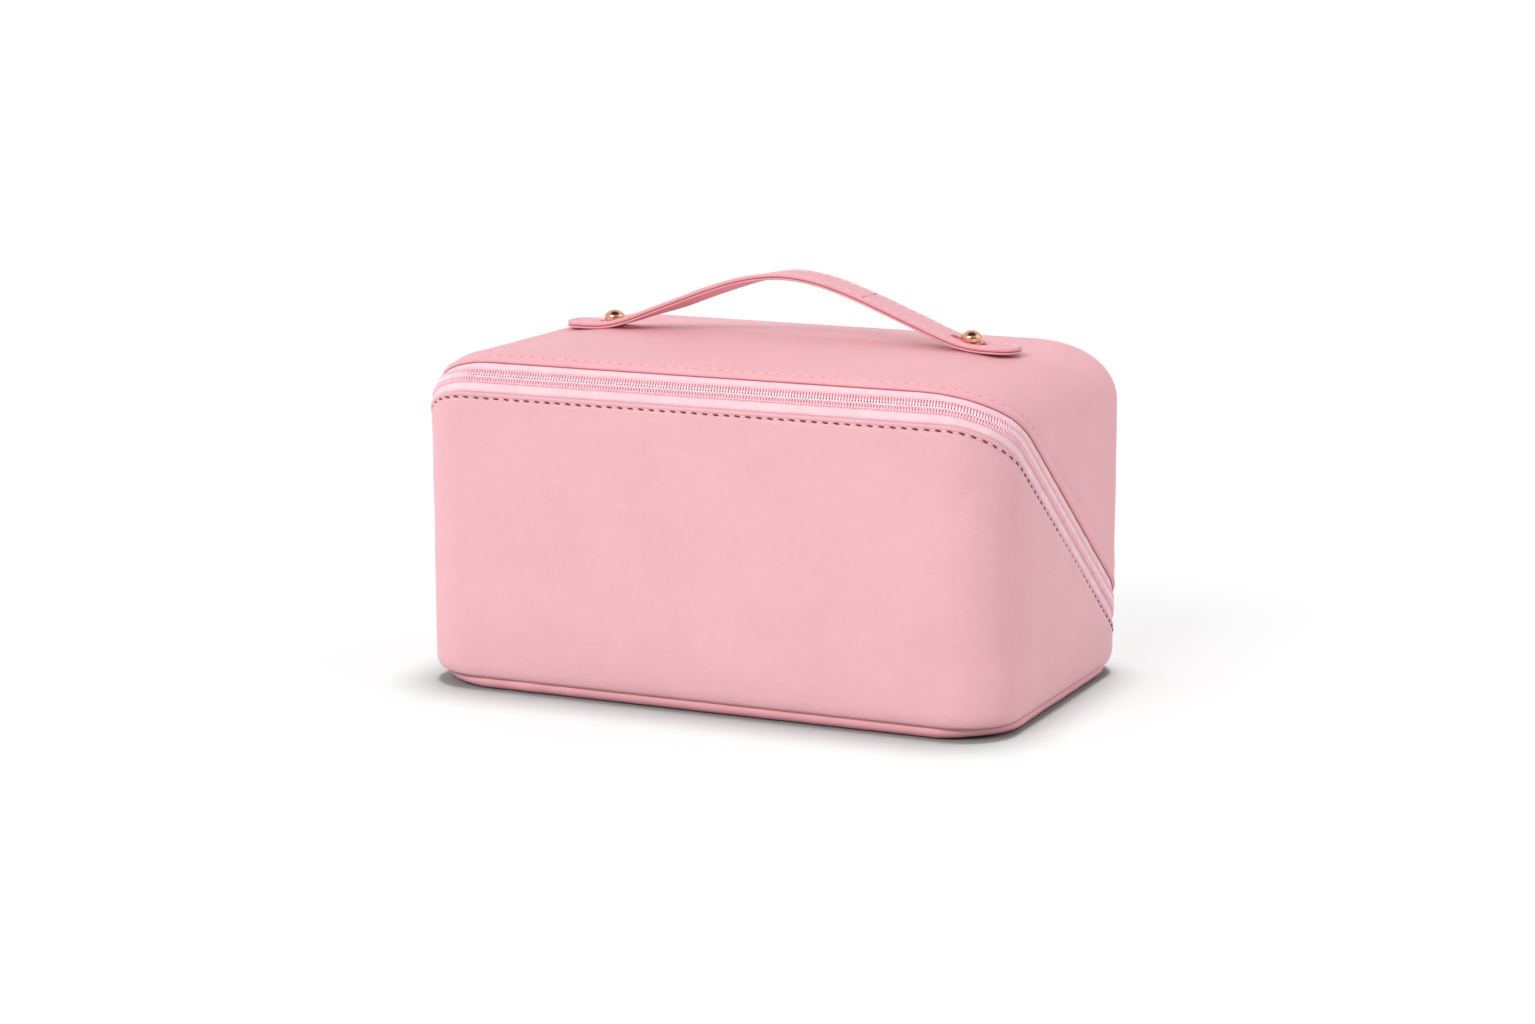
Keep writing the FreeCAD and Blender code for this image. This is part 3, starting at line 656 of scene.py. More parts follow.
def base_cover():
    """The puffed base panel under the walls, rolled under to the flat bottom."""
    profile = [(3.2, 5.5), (0.9, 4.95), (0.15, 4.5), (-0.1, 3.8), (-0.1, 3.0), (0.2, 2.1), (0.9, 1.2),
               (2.0, 0.55), (3.4, 0.16), (6.0, 0.0), (12.0, 0.0), (30.0, 0.0), (50.0, 0.0)]
    foot = 1.0 - math.sqrt(1.0 - 0.985 ** 2)
    half_x = HALF_L - FOOT_INSET_X * foot - 0.2
    half_y = HALF_D - FOOT_INSET_Y * foot - 0.2
    rows = []
    puff = 0.16 * wobble(ROUND, 31, low=6, high=22)
    crease = 0.22 * np.clip(wobble(ROUND, 32, low=18, high=44), -1, 1)
    for inset, z in profile:
        radius = max(CORNER + 4.0 - inset * 0.6, 2.0)
        a = half_x - inset
        b = half_y - inset
        live = 1.0 if 0.2 < z < 4.7 else 0.0
        x = ST[:, 0] * (a - radius) + ST[:, 2] * (radius + live * (puff + crease))
        y = ST[:, 1] * (b - radius) + ST[:, 3] * (radius + live * (puff + crease))
        corner_lift = 0.7 * CORNERNESS * smooth(6.0, 0.0, z) * (1.0 if inset < 4.0 else 0.0)
        rows.append(xyz(x, y, z + corner_lift))
    last = 68.0
    x = ST[:, 0] * (half_x - last)
    rows.append(xyz(x, 0.0, 0.0))
    top = rows[0] * np.array([0.2, 0.0, 1.0])
    return skin("base_skin", [top] + rows, base_pink)


# ---------------------------------------------------------------- the zip
def zip_span():
    """Stations that carry the zip, in order from the right back end by the front to the left back end."""
    x = envelope(0.5)[:, 0]
    return np.array([i for i in range(NS) if not (ST[i, 1] > 0.99 and abs(x[i]) < ZIP_END_X)])


SPAN = zip_span()


def tape(name, side):
    """A zip tape: a thin ribbon standing in the slot between the two folded edges."""
    ripple = 0.06 * wobble(ROUND, 41, low=30, high=80)[:, None]

    def row(f, extra):
        w = side * TAPE_W[0] + (side * TAPE_W[1] - side * TAPE_W[0]) * f
        depth = TAPE_DEPTH[0] + (TAPE_DEPTH[1] - TAPE_DEPTH[0]) * float(smooth(5.4, 8.0, abs(w)))
        p, n = at_w(w)
        return (p - n * (depth + extra))[SPAN]

    rows = [row(f, ripple) for f in np.linspace(0.0, 1.0, 13)]
    rows += [row(f, TAPE_THICKNESS) for f in np.linspace(1.0, 0.0, 9)]
    return skin(name, rows, tape_pink, True, False)


def path_frames(w, h, step):
    """Even frames along the skin at height w over the zip plane: points, along, across and normals."""
    p, n = at_w(w)
    p = (p + n * h)[SPAN]
    s = runs_of(p)
    count = int(round(s[-1] / step))
    at = (np.arange(count) + 0.5) * s[-1] / count
    normal = unit(at_run(at, s, n[SPAN]))
    along = unit(at_run(at + 0.4, s, p) - at_run(at - 0.4, s, p))
    across = unit(np.cross(normal, along))
    flip = np.where(across @ np.array([0.0, ZIP_SIN, ZIP_COS]) < 0, -1.0, 1.0)
    return at_run(at, s, p), along, across * flip[:, None], normal


def capsule(length, radius, flat=1.0, sides=8, rings=7, curl=0.0):
    """A short rounded bar along its first axis; returns its points and faces."""
    points = []
    for i in range(rings):
        t = -1.0 + 2.0 * i / (rings - 1)
        x = (length / 2 - radius) * t + radius * math.sin(t * 0.5 * math.pi * 0.94)
        r = radius * math.sqrt(max(1.0 - max(abs(x) - (length / 2 - radius), 0.0) ** 2 / radius ** 2, 0.02))
        drop = -curl * t * t
        for j in range(sides):
            b = 2 * math.pi * j / sides
            points.append((x, r * math.cos(b), r * flat * math.sin(b) + drop))
    faces = grid_faces(rings, sides, False, True)
    faces.append(tuple(range(sides)))
    faces.append(tuple((rings - 1) * sides + j for j in reversed(range(sides))))
    return np.array(points), faces


def scatter(name, shape, frames, material, offset=(0.0, 0.0, 0.0), swap=False, jitter=0.0, seed=1):
    """One mesh of a small shape repeated on every frame."""
    points, faces = shape
    origin, along, across, normal = frames
    if swap:
        along, across = across, along
    rng = np.random.default_rng(seed)
    verts = []
    all_faces = []
    for i in range(len(origin)):
        push = rng.uniform(-jitter, jitter, 3)
        local = points + np.array(offset) + push
        turned = local[:, :1] * along[i] + local[:, 1:2] * across[i] + local[:, 2:] * normal[i]
        verts.append(origin[i] + turned)
        base = i * len(points)
        all_faces += [tuple(base + k for k in face) for face in faces]
    return outward(new_object(name, np.concatenate(verts), all_faces, material))


def teeth(name, side, w, h, shape, material):
    """One row of the coil's turns or of their heads, half a pitch from the other row's."""
    return scatter(name, shape, path_frames(side * w, h, TOOTH_PITCH), material,
                   offset=(0.0, 0.25 * TOOTH_PITCH * side, 0.0), swap=True)


def coil_bed(name, side):
    """A strip of tape under the coil, darker than the tape: painted shade between the teeth."""
    rows = []
    for w, depth in ((0.05, 0.75), (1.0, 0.62), (2.2, 0.62), (3.1, 0.66), (3.2, 1.1), (0.05, 1.1)):
        p, n = at_w(side * w)
        rows.append((p - n * depth)[SPAN])
    return skin(name, rows, shaded_bed_pink, True, False, crisp=50.0)


def cord_along(name, w, h, radius, material, sides=8):
    """A thin continuous line of thread or cord in the skin at height w over the zip plane."""
    p, _, across, normal = path_frames(w, h, 2.0)
    turns = [2 * math.pi * j / sides for j in range(sides)]
    rows = [p + radius * (math.cos(a) * across + math.sin(a) * normal) for a in turns]
    return tube(name, rows, material, 0.0)


# ---------------------------------------------------------------- build the body
put(tray_cover(), "tray", "cover", "front_cover")
put(lid_cover(), "lid", "cover", "lid_cover")
put(base_cover(), "tray", "cover", "bottom_cover")

TURN = capsule(3.0, 0.47, flat=1.15, curl=0.3)
HEAD = capsule(1.05, 0.5, flat=1.15, rings=5)
for word, side, body in (("lower", -1.0, "tray"), ("upper", 1.0, "lid")):
    put(tape(word + "_tape", side), body, "zip_tape", word + "_zipper_tape")
    put(teeth(word + "_teeth", side, 1.6, -0.35, TURN, coil_pink), body, "zip_coil", word + "_zipper_coil")
    # the heads take the paler pink: a painted highlight where the two rows interlock
    put(teeth(word + "_teeth_heads", side, 0.42, -0.2, HEAD, highlight_head_pink), body, "zip_coil")
    put(coil_bed(word + "_coil_bed", side), body, "zip_tape")
    put(cord_along(word + "_coil_stitch", side * 2.3, 0.02, 0.2, pale_thread_highlight), body, "zip_coil")

seam_frames = path_frames(TRAY_EDGE - SEAM_BELOW, -0.22, STITCH_PITCH)
put(scatter("tray_seam_thread", capsule(2.2, 0.28, sides=6, curl=0.25), seam_frames, pink_thread_highlight,
            jitter=0.05, seed=7), "tray", "binding")
# dark dashes between the tray's stitches: painted shade of the needle holes and sunk thread
dash, dash_faces = capsule(2.3, 0.27, flat=0.8, sides=6, curl=0.1)
dash[:, 1] += 0.12 * dash[:, 0]
put(scatter("tray_seam_shade_dashes", (dash, dash_faces), seam_frames, stitch_shade_maroon,
            offset=(STITCH_PITCH / 2, 0.0, 0.10), jitter=0.06, seed=8), "tray", "binding")
# the lid's stitches take the palest thread: a painted highlight on the seam's puckers
put(scatter("lid_seam_thread", capsule(3.2, 0.2, sides=6, curl=0.2), path_frames(LID_EDGE + 3.5, 0.03, 4.6),
            pale_thread_highlight, jitter=0.05, seed=9), "lid", "binding")
# a thin darker cord in the seam's valley: painted shade in the crease
put(cord_along("lid_seam_crease_shade", LID_EDGE + 3.75, -0.36, 0.2, crease_shade_pink), "lid", "binding")
# a dark cord under the lid's bead: painted shadow where the bead overhangs the tape
put(cord_along("lid_bead_shadow", LID_EDGE - 0.05, -0.6, 0.26, bead_shadow_maroon), "lid", "binding")

# ---------------------------------------------------------------- the handle
STRAP_HALF = 8.0
STRAP_TIP = 95.9
STRAP_FOOT = 131.6
RAMP_OUT = 88.0
RAMP_IN = 62.0
CREST = 44.0
STRAP_SLOPE = 0.394
STRAP_TILT = -0.003
STRAP_TWIST = 1.6
CUT = 33.0
SLOT_HALF = 7.3
SLOT_RADIUS = 2.0


def strap_line():
    """The strap's underside along its length: x, z and the run along it."""
    x = np.linspace(-STRAP_TIP, STRAP_TIP, 1201)
    ax = np.abs(x)
    arch = 1.0 - (1.0 - np.clip(ax / CREST, 0.0, 1.0)) ** 2
    slope = STRAP_SLOPE * smooth(RAMP_OUT, RAMP_IN, ax) * arch
    slope = slope * np.where(x < 0, 1.0, -1.0)
    z = STRAP_FOOT + np.concatenate([[0.0], np.cumsum(0.5 * (slope[1:] + slope[:-1]) * np.diff(x))])
    z = z + STRAP_TILT * x
    run = np.concatenate([[0.0], np.cumsum(np.sqrt(1 + (0.5 * (slope[1:] + slope[:-1])) ** 2) * np.diff(x))])
    return x, z, slope, run - run[-1] / 2


SX, SZ, SSLOPE, SRUN = strap_line()
STRAP_RUN = SRUN[-1]
CUT_RUN = float(np.interp(CUT, SX, SRUN))


def on_strap(u, v, h):
    """A point at run u, sideways v and height h over the strap's underside."""
    u = np.asarray(u, float)
    x = np.interp(u, SRUN, SX)
    z = np.interp(u, SRUN, SZ)
    s = np.interp(u, SRUN, SSLOPE)
    size = np.sqrt(1 + s * s)
    twist = STRAP_TWIST * smooth(-68.0, -45.0, x) * smooth(4.0, -28.0, x)
    twist = twist * (v + STRAP_HALF) / (2 * STRAP_HALF)
    return xyz(x - h * s / size, STRAP_Y + v, z + h / size - twist)


STRAP_PROFILE = [(0.0, 0.0), (0.35, 0.0), (0.7, 0.02), (0.93, 0.04), (0.98, 0.12), (1.0, 0.3), (1.004, 0.5),
                 (0.997, 0.72), (0.96, 0.84), (0.93, 0.98), (0.96, 1.12), (1.0, 1.26), (1.016, 1.6),
                 (1.01, 2.0), (0.995, 2.35), (0.97, 2.56), (0.935, 2.66), (0.90, 2.62), (0.865, 2.48),
                 (0.825, 2.3), (0.79, 2.2), (0.755, 2.26), (0.70, 2.4), (0.6, 2.5), (0.45, 2.54),
                 (0.25, 2.55), (0.0, 2.55)]

GROOVE_ROWS = [k for k, (_, h) in enumerate(STRAP_PROFILE) if 0.8 < h < 1.1]


def strap_outline(low, high, closed_low, closed_high):
    """The strap's edge between two runs: points and the spine points they shrink towards."""
    tip = STRAP_RUN - STRAP_HALF
    start, stop = max(low, -tip), min(high, tip)
    steps = np.linspace(start, stop, int((stop - start) / 1.1) + 2)
    outline = []

    def rounded_end(first, spine):
        for a in np.radians(np.linspace(first, first + 180, 22)[1:-1]):
            c, s = math.cos(a), math.sin(a)
            k = (abs(c) ** 2.5 + abs(s) ** 2.5) ** (-1 / 2.5)
            outline.append((spine + STRAP_HALF * c * k, STRAP_HALF * s * k, spine))

    outline += [(u, -STRAP_HALF, u) for u in steps]
    if closed_high:
        rounded_end(-90, tip)
    outline += [(u, STRAP_HALF, u) for u in reversed(steps)]
    if closed_low:
        rounded_end(90, -tip)
    return np.array(outline)


def strap_piece(name, low, high, closed_low, closed_high):
    """One length of the strap, closed by flat faces where it meets the next."""
    outline = strap_outline(low, high, closed_low, closed_high)
    rows = []
    for f, h in STRAP_PROFILE:
        u = outline[:, 2] + (outline[:, 0] - outline[:, 2]) * f
        v = outline[:, 1] * f
        uneven = 0.05 * np.sin(u / 6.3) + 0.04 * np.sin(u / 2.9 + 1.0)
        rows.append(on_strap(u, v * (1.0 + 0.004 * np.sin(u / 9.0)), h + (uneven if h > 2.3 else 0.0)))
    grid = np.stack(rows, axis=0)
    obj = new_object(name, grid.reshape(-1, 3), grid_faces(len(rows), len(outline), False, True), strap_pink)
    obj.data.materials.append(crease_shade_pink)
    # the groove rows take the darker pink: painted shade in the strap's edge groove
    for face in obj.data.polygons:
        row = face.index // len(outline)
        face.material_index = 1 if row in GROOVE_ROWS else 0
    with edited(obj) as bm:
        bmesh.ops.remove_doubles(bm, verts=bm.verts, dist=0.01 * MM)
        bmesh.ops.delete(bm, geom=[f for f in bm.faces if f.calc_area() < 1e-13], context="FACES")
        bmesh.ops.holes_fill(bm, edges=[e for e in bm.edges if len(e.link_faces) == 1])
        bmesh.ops.recalc_face_normals(bm, faces=bm.faces)
    obj.data.polygons.foreach_set("use_smooth", [True] * len(obj.data.polygons))
    return sharpen(obj, 60.0)


def cut_slot(obj, x):
    """A rounded slot through the strap round a stud."""
    middle = x - math.copysign(1.0, x)
    points = []
    for a in np.arange(32) * 2 * math.pi / 32:
        reach = (SLOT_HALF - SLOT_RADIUS) * (1.0 if math.cos(a) > 0 else -1.0)
        points.append((middle + reach + SLOT_RADIUS * math.cos(a), STRAP_Y + SLOT_RADIUS * math.sin(a)))
    verts = [(px, py, z) for z in (125.0, 142.0) for px, py in points]
    count = len(points)
    faces = [tuple(range(count)), tuple(count + i for i in reversed(range(count)))]
    faces += [(i, count + i, count + (i + 1) % count, (i + 1) % count) for i in range(count)]
    cutter = new_object("slot_cutter", verts, faces, crease_shade_pink, smooth_faces=False)
    clean(cutter, 0.0001 * MM)
    modifier = obj.modifiers.new("slot", "BOOLEAN")
    modifier.operation = "DIFFERENCE"
    modifier.solver = "EXACT"
    modifier.object = cutter
    bpy.context.view_layer.objects.active = obj
    bpy.context.view_layer.update()
    evaluated = obj.evaluated_get(bpy.context.evaluated_depsgraph_get())
    mesh = bpy.data.meshes.new_from_object(evaluated)
    obj.modifiers.clear()
    obj.data = mesh
    bpy.data.objects.remove(cutter)
    return obj


def strap_stitches(name, low, high, closed_low, closed_high):
    """The thread line just inside the strap's edge."""
    outline = strap_outline(low, high, closed_low, closed_high)
    f = 0.78
    u = outline[:, 2] + (outline[:, 0] - outline[:, 2]) * f
    line = on_strap(u, outline[:, 1] * f, 2.4)
    gaps = np.linalg.norm(np.diff(line, axis=0), axis=1)
    breaks = [0] + [i + 1 for i, g in enumerate(gaps) if g > 6.0] + [len(line)]
    frames = [[], [], [], []]
    for a, b in zip(breaks[:-1], breaks[1:]):
        if b - a <= 3:
            continue
        points = line[a:b]
        s = runs_of(points)
        count = max(int(s[-1] / 4.1), 1)
        at = (np.arange(count) + 0.5) * s[-1] / count
        along = unit(at_run(at + 0.3, s, points) - at_run(at - 0.3, s, points))
        slope = np.interp(np.interp(at, s, u[a:b]), SRUN, SSLOPE)
        normal = unit(xyz(-slope, 0.0, 1.0))
        across = unit(np.cross(normal, along))
        for column, part in zip(frames, (at_run(at, s, points), along, across, normal)):
            column.append(part)
    frames = [np.concatenate(column) for column in frames]
    shape = capsule(3.0, 0.27, sides=6, curl=0.2)
    return scatter(name, shape, frames, pale_thread_highlight, jitter=0.04, seed=len(frames[0]))


STRAPS = (
    ("strap_left", -STRAP_RUN, -CUT_RUN, True, False, "handle_left_tab", "handle_left_span", -71.0, -60.0,
     ("handle_left_tab_bottom", "handle_left_tab_top")),
    ("strap_middle", -CUT_RUN, CUT_RUN, False, False, "handle_left_span", "handle_right_span", -14.0, 14.0,
     ("handle_left_span_bottom", "handle_left_span_top")),
    ("strap_right", CUT_RUN, STRAP_RUN, False, True, "handle_right_span", "handle_right_tab", 60.0, 71.0,
     ("handle_right_span_bottom", "handle_right_span_top",
      "handle_right_tab_bottom", "handle_right_tab_top")),
)
for name, low, high, closed_low, closed_high, body_a, body_b, x0, x1, replaced in STRAPS:
    piece = strap_piece(name, low, high, closed_low, closed_high)
    if closed_low:
        cut_slot(piece, -STUD_X)
    if closed_high:
        cut_slot(piece, STUD_X)
    stitches = strap_stitches(name + "_stitches", low, high, closed_low, closed_high)
    for part, slot in ((piece, "strap"), (stitches, "binding")):
        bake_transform(part)
    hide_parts(*replaced)


# ---------------------------------------------------------------- the back's fold, linings and fittings
def fold_strip(name, y_out, y_in, half_x, half_z, material):
    """The strip of leather over the back's fold, outside, or of cloth inside."""
    xs = np.linspace(-half_x, half_x, 110)
    loop = [(y_out - 0.5 * abs(t) ** 6, t * half_z) for t in np.linspace(-1, 1, 15)]
    loop += [(y_in, t * (half_z - 0.3)) for t in np.linspace(1, -1, 7)]
    wave = 0.12 * np.sin(xs / 5.7) + 0.08 * np.sin(xs / 2.6 + 2.0)
    end = smooth(half_x, half_x - 1.0, np.abs(xs))
    rows = [xyz(xs, y + wave * (0.4 if y == y_in else 0.3), FOLD_Z + z * (0.75 + 0.25 * end))
            for y, z in loop]
    return tube(name, rows, material, crisp=50.0)


outer_fold = fold_strip("fold_strip", HALF_D + 0.75, HALF_D - 0.2, 97.5, 4.6, lid_pink)
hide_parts("rear_fold_hinge")
inner_fold = fold_strip("fold_lining", 69.3, 68.5, 100.0, 6.5, lining_pink)
for fold, slot in ((outer_fold, "cover"), (inner_fold, "lining")):
    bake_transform(fold)


def box_mm(node):
    lo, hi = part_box(node)
    return np.array(lo) / MM, np.array(hi) / MM


def inside_boards(points, gap):
    """Points kept clear of the stiffener boards' inner faces by the gap."""
    left = box_mm("upper_end_board_left")[1][0] + gap
    right = box_mm("upper_end_board_right")[0][0] - gap
    front = box_mm("front_board")[1][1] + gap
    back = box_mm("rear_board")[0][1] - gap
    top = box_mm("top_board")[0][2] - gap
    return xyz(np.clip(points[:, 0], left, right), np.clip(points[:, 1], front, back),
                     np.minimum(points[:, 2], top))


def cloth_face(outer, depth, gap, seed=None):
    """One face of the cloth at a depth inside the skin, uneven where a seed is given."""
    rows = []
    for k, (p, n) in enumerate(outer):
        uneven = 0.0 if seed is None else 0.12 * wobble(ROUND + k * 0.01, seed + k % 3)[:, None]
        rows.append(inside_boards(p - n * (depth + uneven), gap))
    return rows


def tray_lining():
    """The cloth inside the tray: a thin skin with its own thickness, over the walls and the floor."""
    edge_q = q_at(W_TRAY - 0.4)
    outer = [at_q(edge_q * f + 0.09 * (1 - f)) for f in np.linspace(0.0, 1.0, 26)]
    outer = [(p + n * front_corner_ease(zip_w(p), p[:, 2])[:, None], n) for p, n in outer]
    rows = cloth_face(outer, LINING_DEPTH[0], 0.05) + cloth_face(outer, LINING_DEPTH[1], 0.6, 51)[::-1]
    floor = ((1.0, 9.4), (4.0, 7.1), (8.0, 6.4), (24.0, 6.35), (45.0, 6.4), (68.0, 6.5))
    for inset, z in floor:
        radius = max(CORNER - 3.5 - inset, 0.0)
        x, y = ring(HALF_L - 3.6 - inset, HALF_D - 3.6 - inset if inset < 60.0 else 0.0, radius)
        rows.append(xyz(x, y, z))
    rows += [row - np.array([0.0, 0.0, 0.7]) for row in rows[:-len(floor):-1]]
    return skin("tray_lining", rows, lining_pink, wrap_rows=True)


def lid_lining():
    """The cloth inside the lid: a thin skin with its own thickness, over the walls and the top."""
    edge_q = q_at(W_LID - 0.3)
    outer = [at_q(edge_q + (2.97 - edge_q) * f) for f in np.linspace(0.0, 1.0, 34)]
    rows = [inside_boards(ridge_points(LINING_DEPTH[0]), 0.05)]
    rows += cloth_face(outer, LINING_DEPTH[0], 0.05)[::-1]
    rows += cloth_face(outer, LINING_DEPTH[1], 0.6, 61)
    rows.append(inside_boards(ridge_points(LINING_DEPTH[1]), 0.6))
    return skin("lid_inside", rows, lining_pink)


put(tray_lining(), "tray", "lining", "base_lining")
put(lid_lining(), "lid", "lining", "lid_lining")


def quilt(u, v, edge, depth):
    """Height of a quilted pad at (u, v): puffed between crossing diagonal seams and away from its edge."""
    a = np.abs(np.sin(math.pi * (u + v) / QUILT_PITCH))
    b = np.abs(np.sin(math.pi * (u - v) / QUILT_PITCH))
    return depth * (np.minimum(a, b) ** 0.5) * smooth(1.0, 6.0, edge)


def slab(name, sheets, nu, nv, material):
    """A flat closed piece from its two faces, each a grid of nu by nv points, joined round the rim."""
    count = nu * nv
    front = grid_faces(nu, nv)
    faces = front + [tuple(count + k for k in reversed(face)) for face in front]
    rim = [i * nv for i in range(nu)] + [(nu - 1) * nv + j for j in range(1, nv)]
    rim += [i * nv + nv - 1 for i in reversed(range(nu - 1))] + [j for j in reversed(range(1, nv - 1))]
    faces += [(a, b, count + b, count + a) for a, b in zip(rim, rim[1:] + rim[:1])]
    return new_object(name, np.concatenate(sheets), faces, material)


def flap_pad(lo, hi):
    """The flap: a thin quilted pad that fills a flat box."""
    size = hi - lo
    nu, nv = (max(int(size[k] / 1.6), 8) for k in (0, 2))
    u, v = np.meshgrid(np.linspace(0, size[0], nu), np.linspace(0, size[2], nv), indexing="ij")
    edge = np.minimum(np.minimum(u, size[0] - u), np.minimum(v, size[2] - v))
    half = size[1] / 2
    thick = half * (0.45 + 0.35 * smooth(0.0, 2.5, edge)) + quilt(u, v, edge, 0.5) * 0.9
    thick = np.minimum(thick, half + 0.25)
    sheets = [xyz(lo[0] + u, (lo[1] + hi[1]) / 2 + sign * thick, lo[2] + v).reshape(-1, 3)
              for sign in (-1.0, 1.0)]
    return slab("flap_pad", sheets, nu, nv, flap_pink)


def tube_along(name, points, radius_a, radius_b, normal, material, sides=12, ribs=0.0):
    """A rounded binding along a line of points; normal is the direction of radius_b."""
    points = np.asarray(points, float)
    ahead = np.vstack([points[1:], points[-1:]])
    behind = np.vstack([points[:1], points[:-1]])
    along = unit(ahead - behind)
    normal = np.broadcast_to(np.asarray(normal, float), points.shape)
    across = unit(np.cross(along, normal))
    rows = []
    grow = 1.0 + ribs * np.sin(np.arange(len(points)) * 1.9)
    for j in range(sides):
        a = 2 * math.pi * j / sides
        rows.append(points + (radius_a * math.cos(a) * grow)[:, None] * across
                    + (radius_b * math.sin(a) * grow)[:, None] * normal)
    return tube(name, rows, material, 0.005 * MM)


def resample(points, step):
    """The same line with evenly spaced points."""
    points = np.asarray(points, float)
    s = runs_of(points)
    return at_run(np.linspace(0, s[-1], max(int(s[-1] / step), 2)), s, points)


def rounded_path(corners, radius, step=1.2):
    """A path through the corners with each inner corner rounded."""
    corners = np.asarray(corners, float)
    points = [corners[0]]
    for a, b, c in zip(corners[:-2], corners[1:-1], corners[2:]):
        d1, d2 = unit(a - b), unit(c - b)
        points += [b + d1 * radius * (1 - t) ** 2 + d2 * radius * t ** 2 for t in np.linspace(0, 1, 9)]
    points.append(corners[-1])
    return resample(points, step)


# the padded brush flap
lo, hi = box_mm("brush_flap")
flap = flap_pad(lo + np.array([0.5, 0.0, 0.0]), hi - np.array([0.5, 0.0, 0.5]))
put(flap, "flap", "cover", "brush_flap")
mid_y = (lo[1] + hi[1]) / 2
lo, hi = box_mm("flap_binding")
left, right, top = lo[0] + PIPING, hi[0] - PIPING, hi[2] - PIPING
edge_path = rounded_path([(left, mid_y, lo[2]), (left, mid_y, top), (right, mid_y, top),
                          (right, mid_y, lo[2])], 5.0)
put(tube_along("flap_piping", edge_path, PIPING, 1.7, (0.0, 1.0, 0.0), binding_pink, ribs=0.02),
    "flap", "binding", "flap_binding")
lo, hi = box_mm("flap_fold_hinge")
_, mid_y, mid_z = (lo + hi) / 2
fold_path = resample([(lo[0], mid_y, mid_z), (hi[0], mid_y, mid_z)], 1.2)
put(tube_along("flap_fold", fold_path, 0.8, 0.8, (0.0, 1.0, 0.0), lining_pink, ribs=0.05),
    "lid", "lining", "flap_fold_hinge")

def brush_loops():
    """A ribbed elastic, sewn down at even seams, that bulges into a loop for a brush between them."""
    lo, hi = box_mm("brush_band")
    xs = np.linspace(lo[0], hi[0], 161)
    zs = np.linspace(lo[2], hi[2], 19)
    phase = (xs - lo[0]) / (hi[0] - lo[0]) * LOOPS
    bulge = np.abs(np.sin(math.pi * phase)) ** 0.7
    front = []
    for z in zs:
        edge = 0.15 * math.cos((z - lo[2]) * 3.1)
        rib = 0.06 * np.sin((z - lo[2]) * 5.0)
        y = lo[1] + 0.75 - bulge * (0.75 + edge * 0.3) - rib
        front.append(xyz(xs, y, z))
    back = [xyz(xs, hi[1], z) for z in zs[::-1]]
    return tube("brush_loops", front + back, elastic_pink, crisp=55.0)


put(brush_loops(), "lid", "elastic", "brush_band")


def net_pocket():
    """A net panel, a little slack but held flat at its sides and foot."""
    lo, hi = box_mm("mesh_pocket")
    xs = np.linspace(lo[0], hi[0], 120)
    rows = []
    for z in np.linspace(lo[2], hi[2], 44):
        height = (z - lo[2]) / (hi[2] - lo[2])
        side = np.clip(np.minimum(xs - lo[0], hi[0] - xs) / 8.0, 0, 1)
        slack = (0.5 * np.sin(xs / 7.5 + 0.4 * math.sin(z / 9.0)) * height + 0.5) * side
        slack = slack * smooth(0, 0.15, height)
        rows.append(xyz(xs, hi[1] - 0.5 + 0.45 * slack, z))
    rows += [row - np.array([0.0, 0.18, 0.0]) for row in rows[::-1]]
    return tube("net_pocket", rows, net_pink, 0.004 * MM)


put(net_pocket(), "tray", "mesh", "mesh_pocket")


def gathered_elastic():
    """A ribbed elastic hem with fine gathers."""
    low, high = box_mm("pocket_elastic")
    mid = (low + high) / 2
    xs = np.linspace(low[0], high[0], 240)
    gather = 0.22 * np.sin(xs * 1.9) + 0.12 * np.sin(xs * 3.7 + 1.0)
    loop = [(-0.9, -0.5), (-1.0, 0.0), (-0.9, 0.5), (-0.4, 0.97), (0.4, 0.97), (0.9, 0.55), (1.0, 0.3),
            (0.8, 0.0), (1.0, -0.3), (0.9, -0.55), (0.4, -0.97), (-0.4, -0.97)]
    rows = []
    for a, b in loop:
        y = mid[1] + a * (high[1] - low[1]) * 0.45 + (gather if a > 0.3 else 0.0)
        z = mid[2] + b * (high[2] - low[2]) / 2
        rows.append(xyz(xs, y, z))
    return tube("gathered_elastic", rows, elastic_pink, 0.004 * MM)


put(gathered_elastic(), "tray", "elastic", "pocket_elastic")


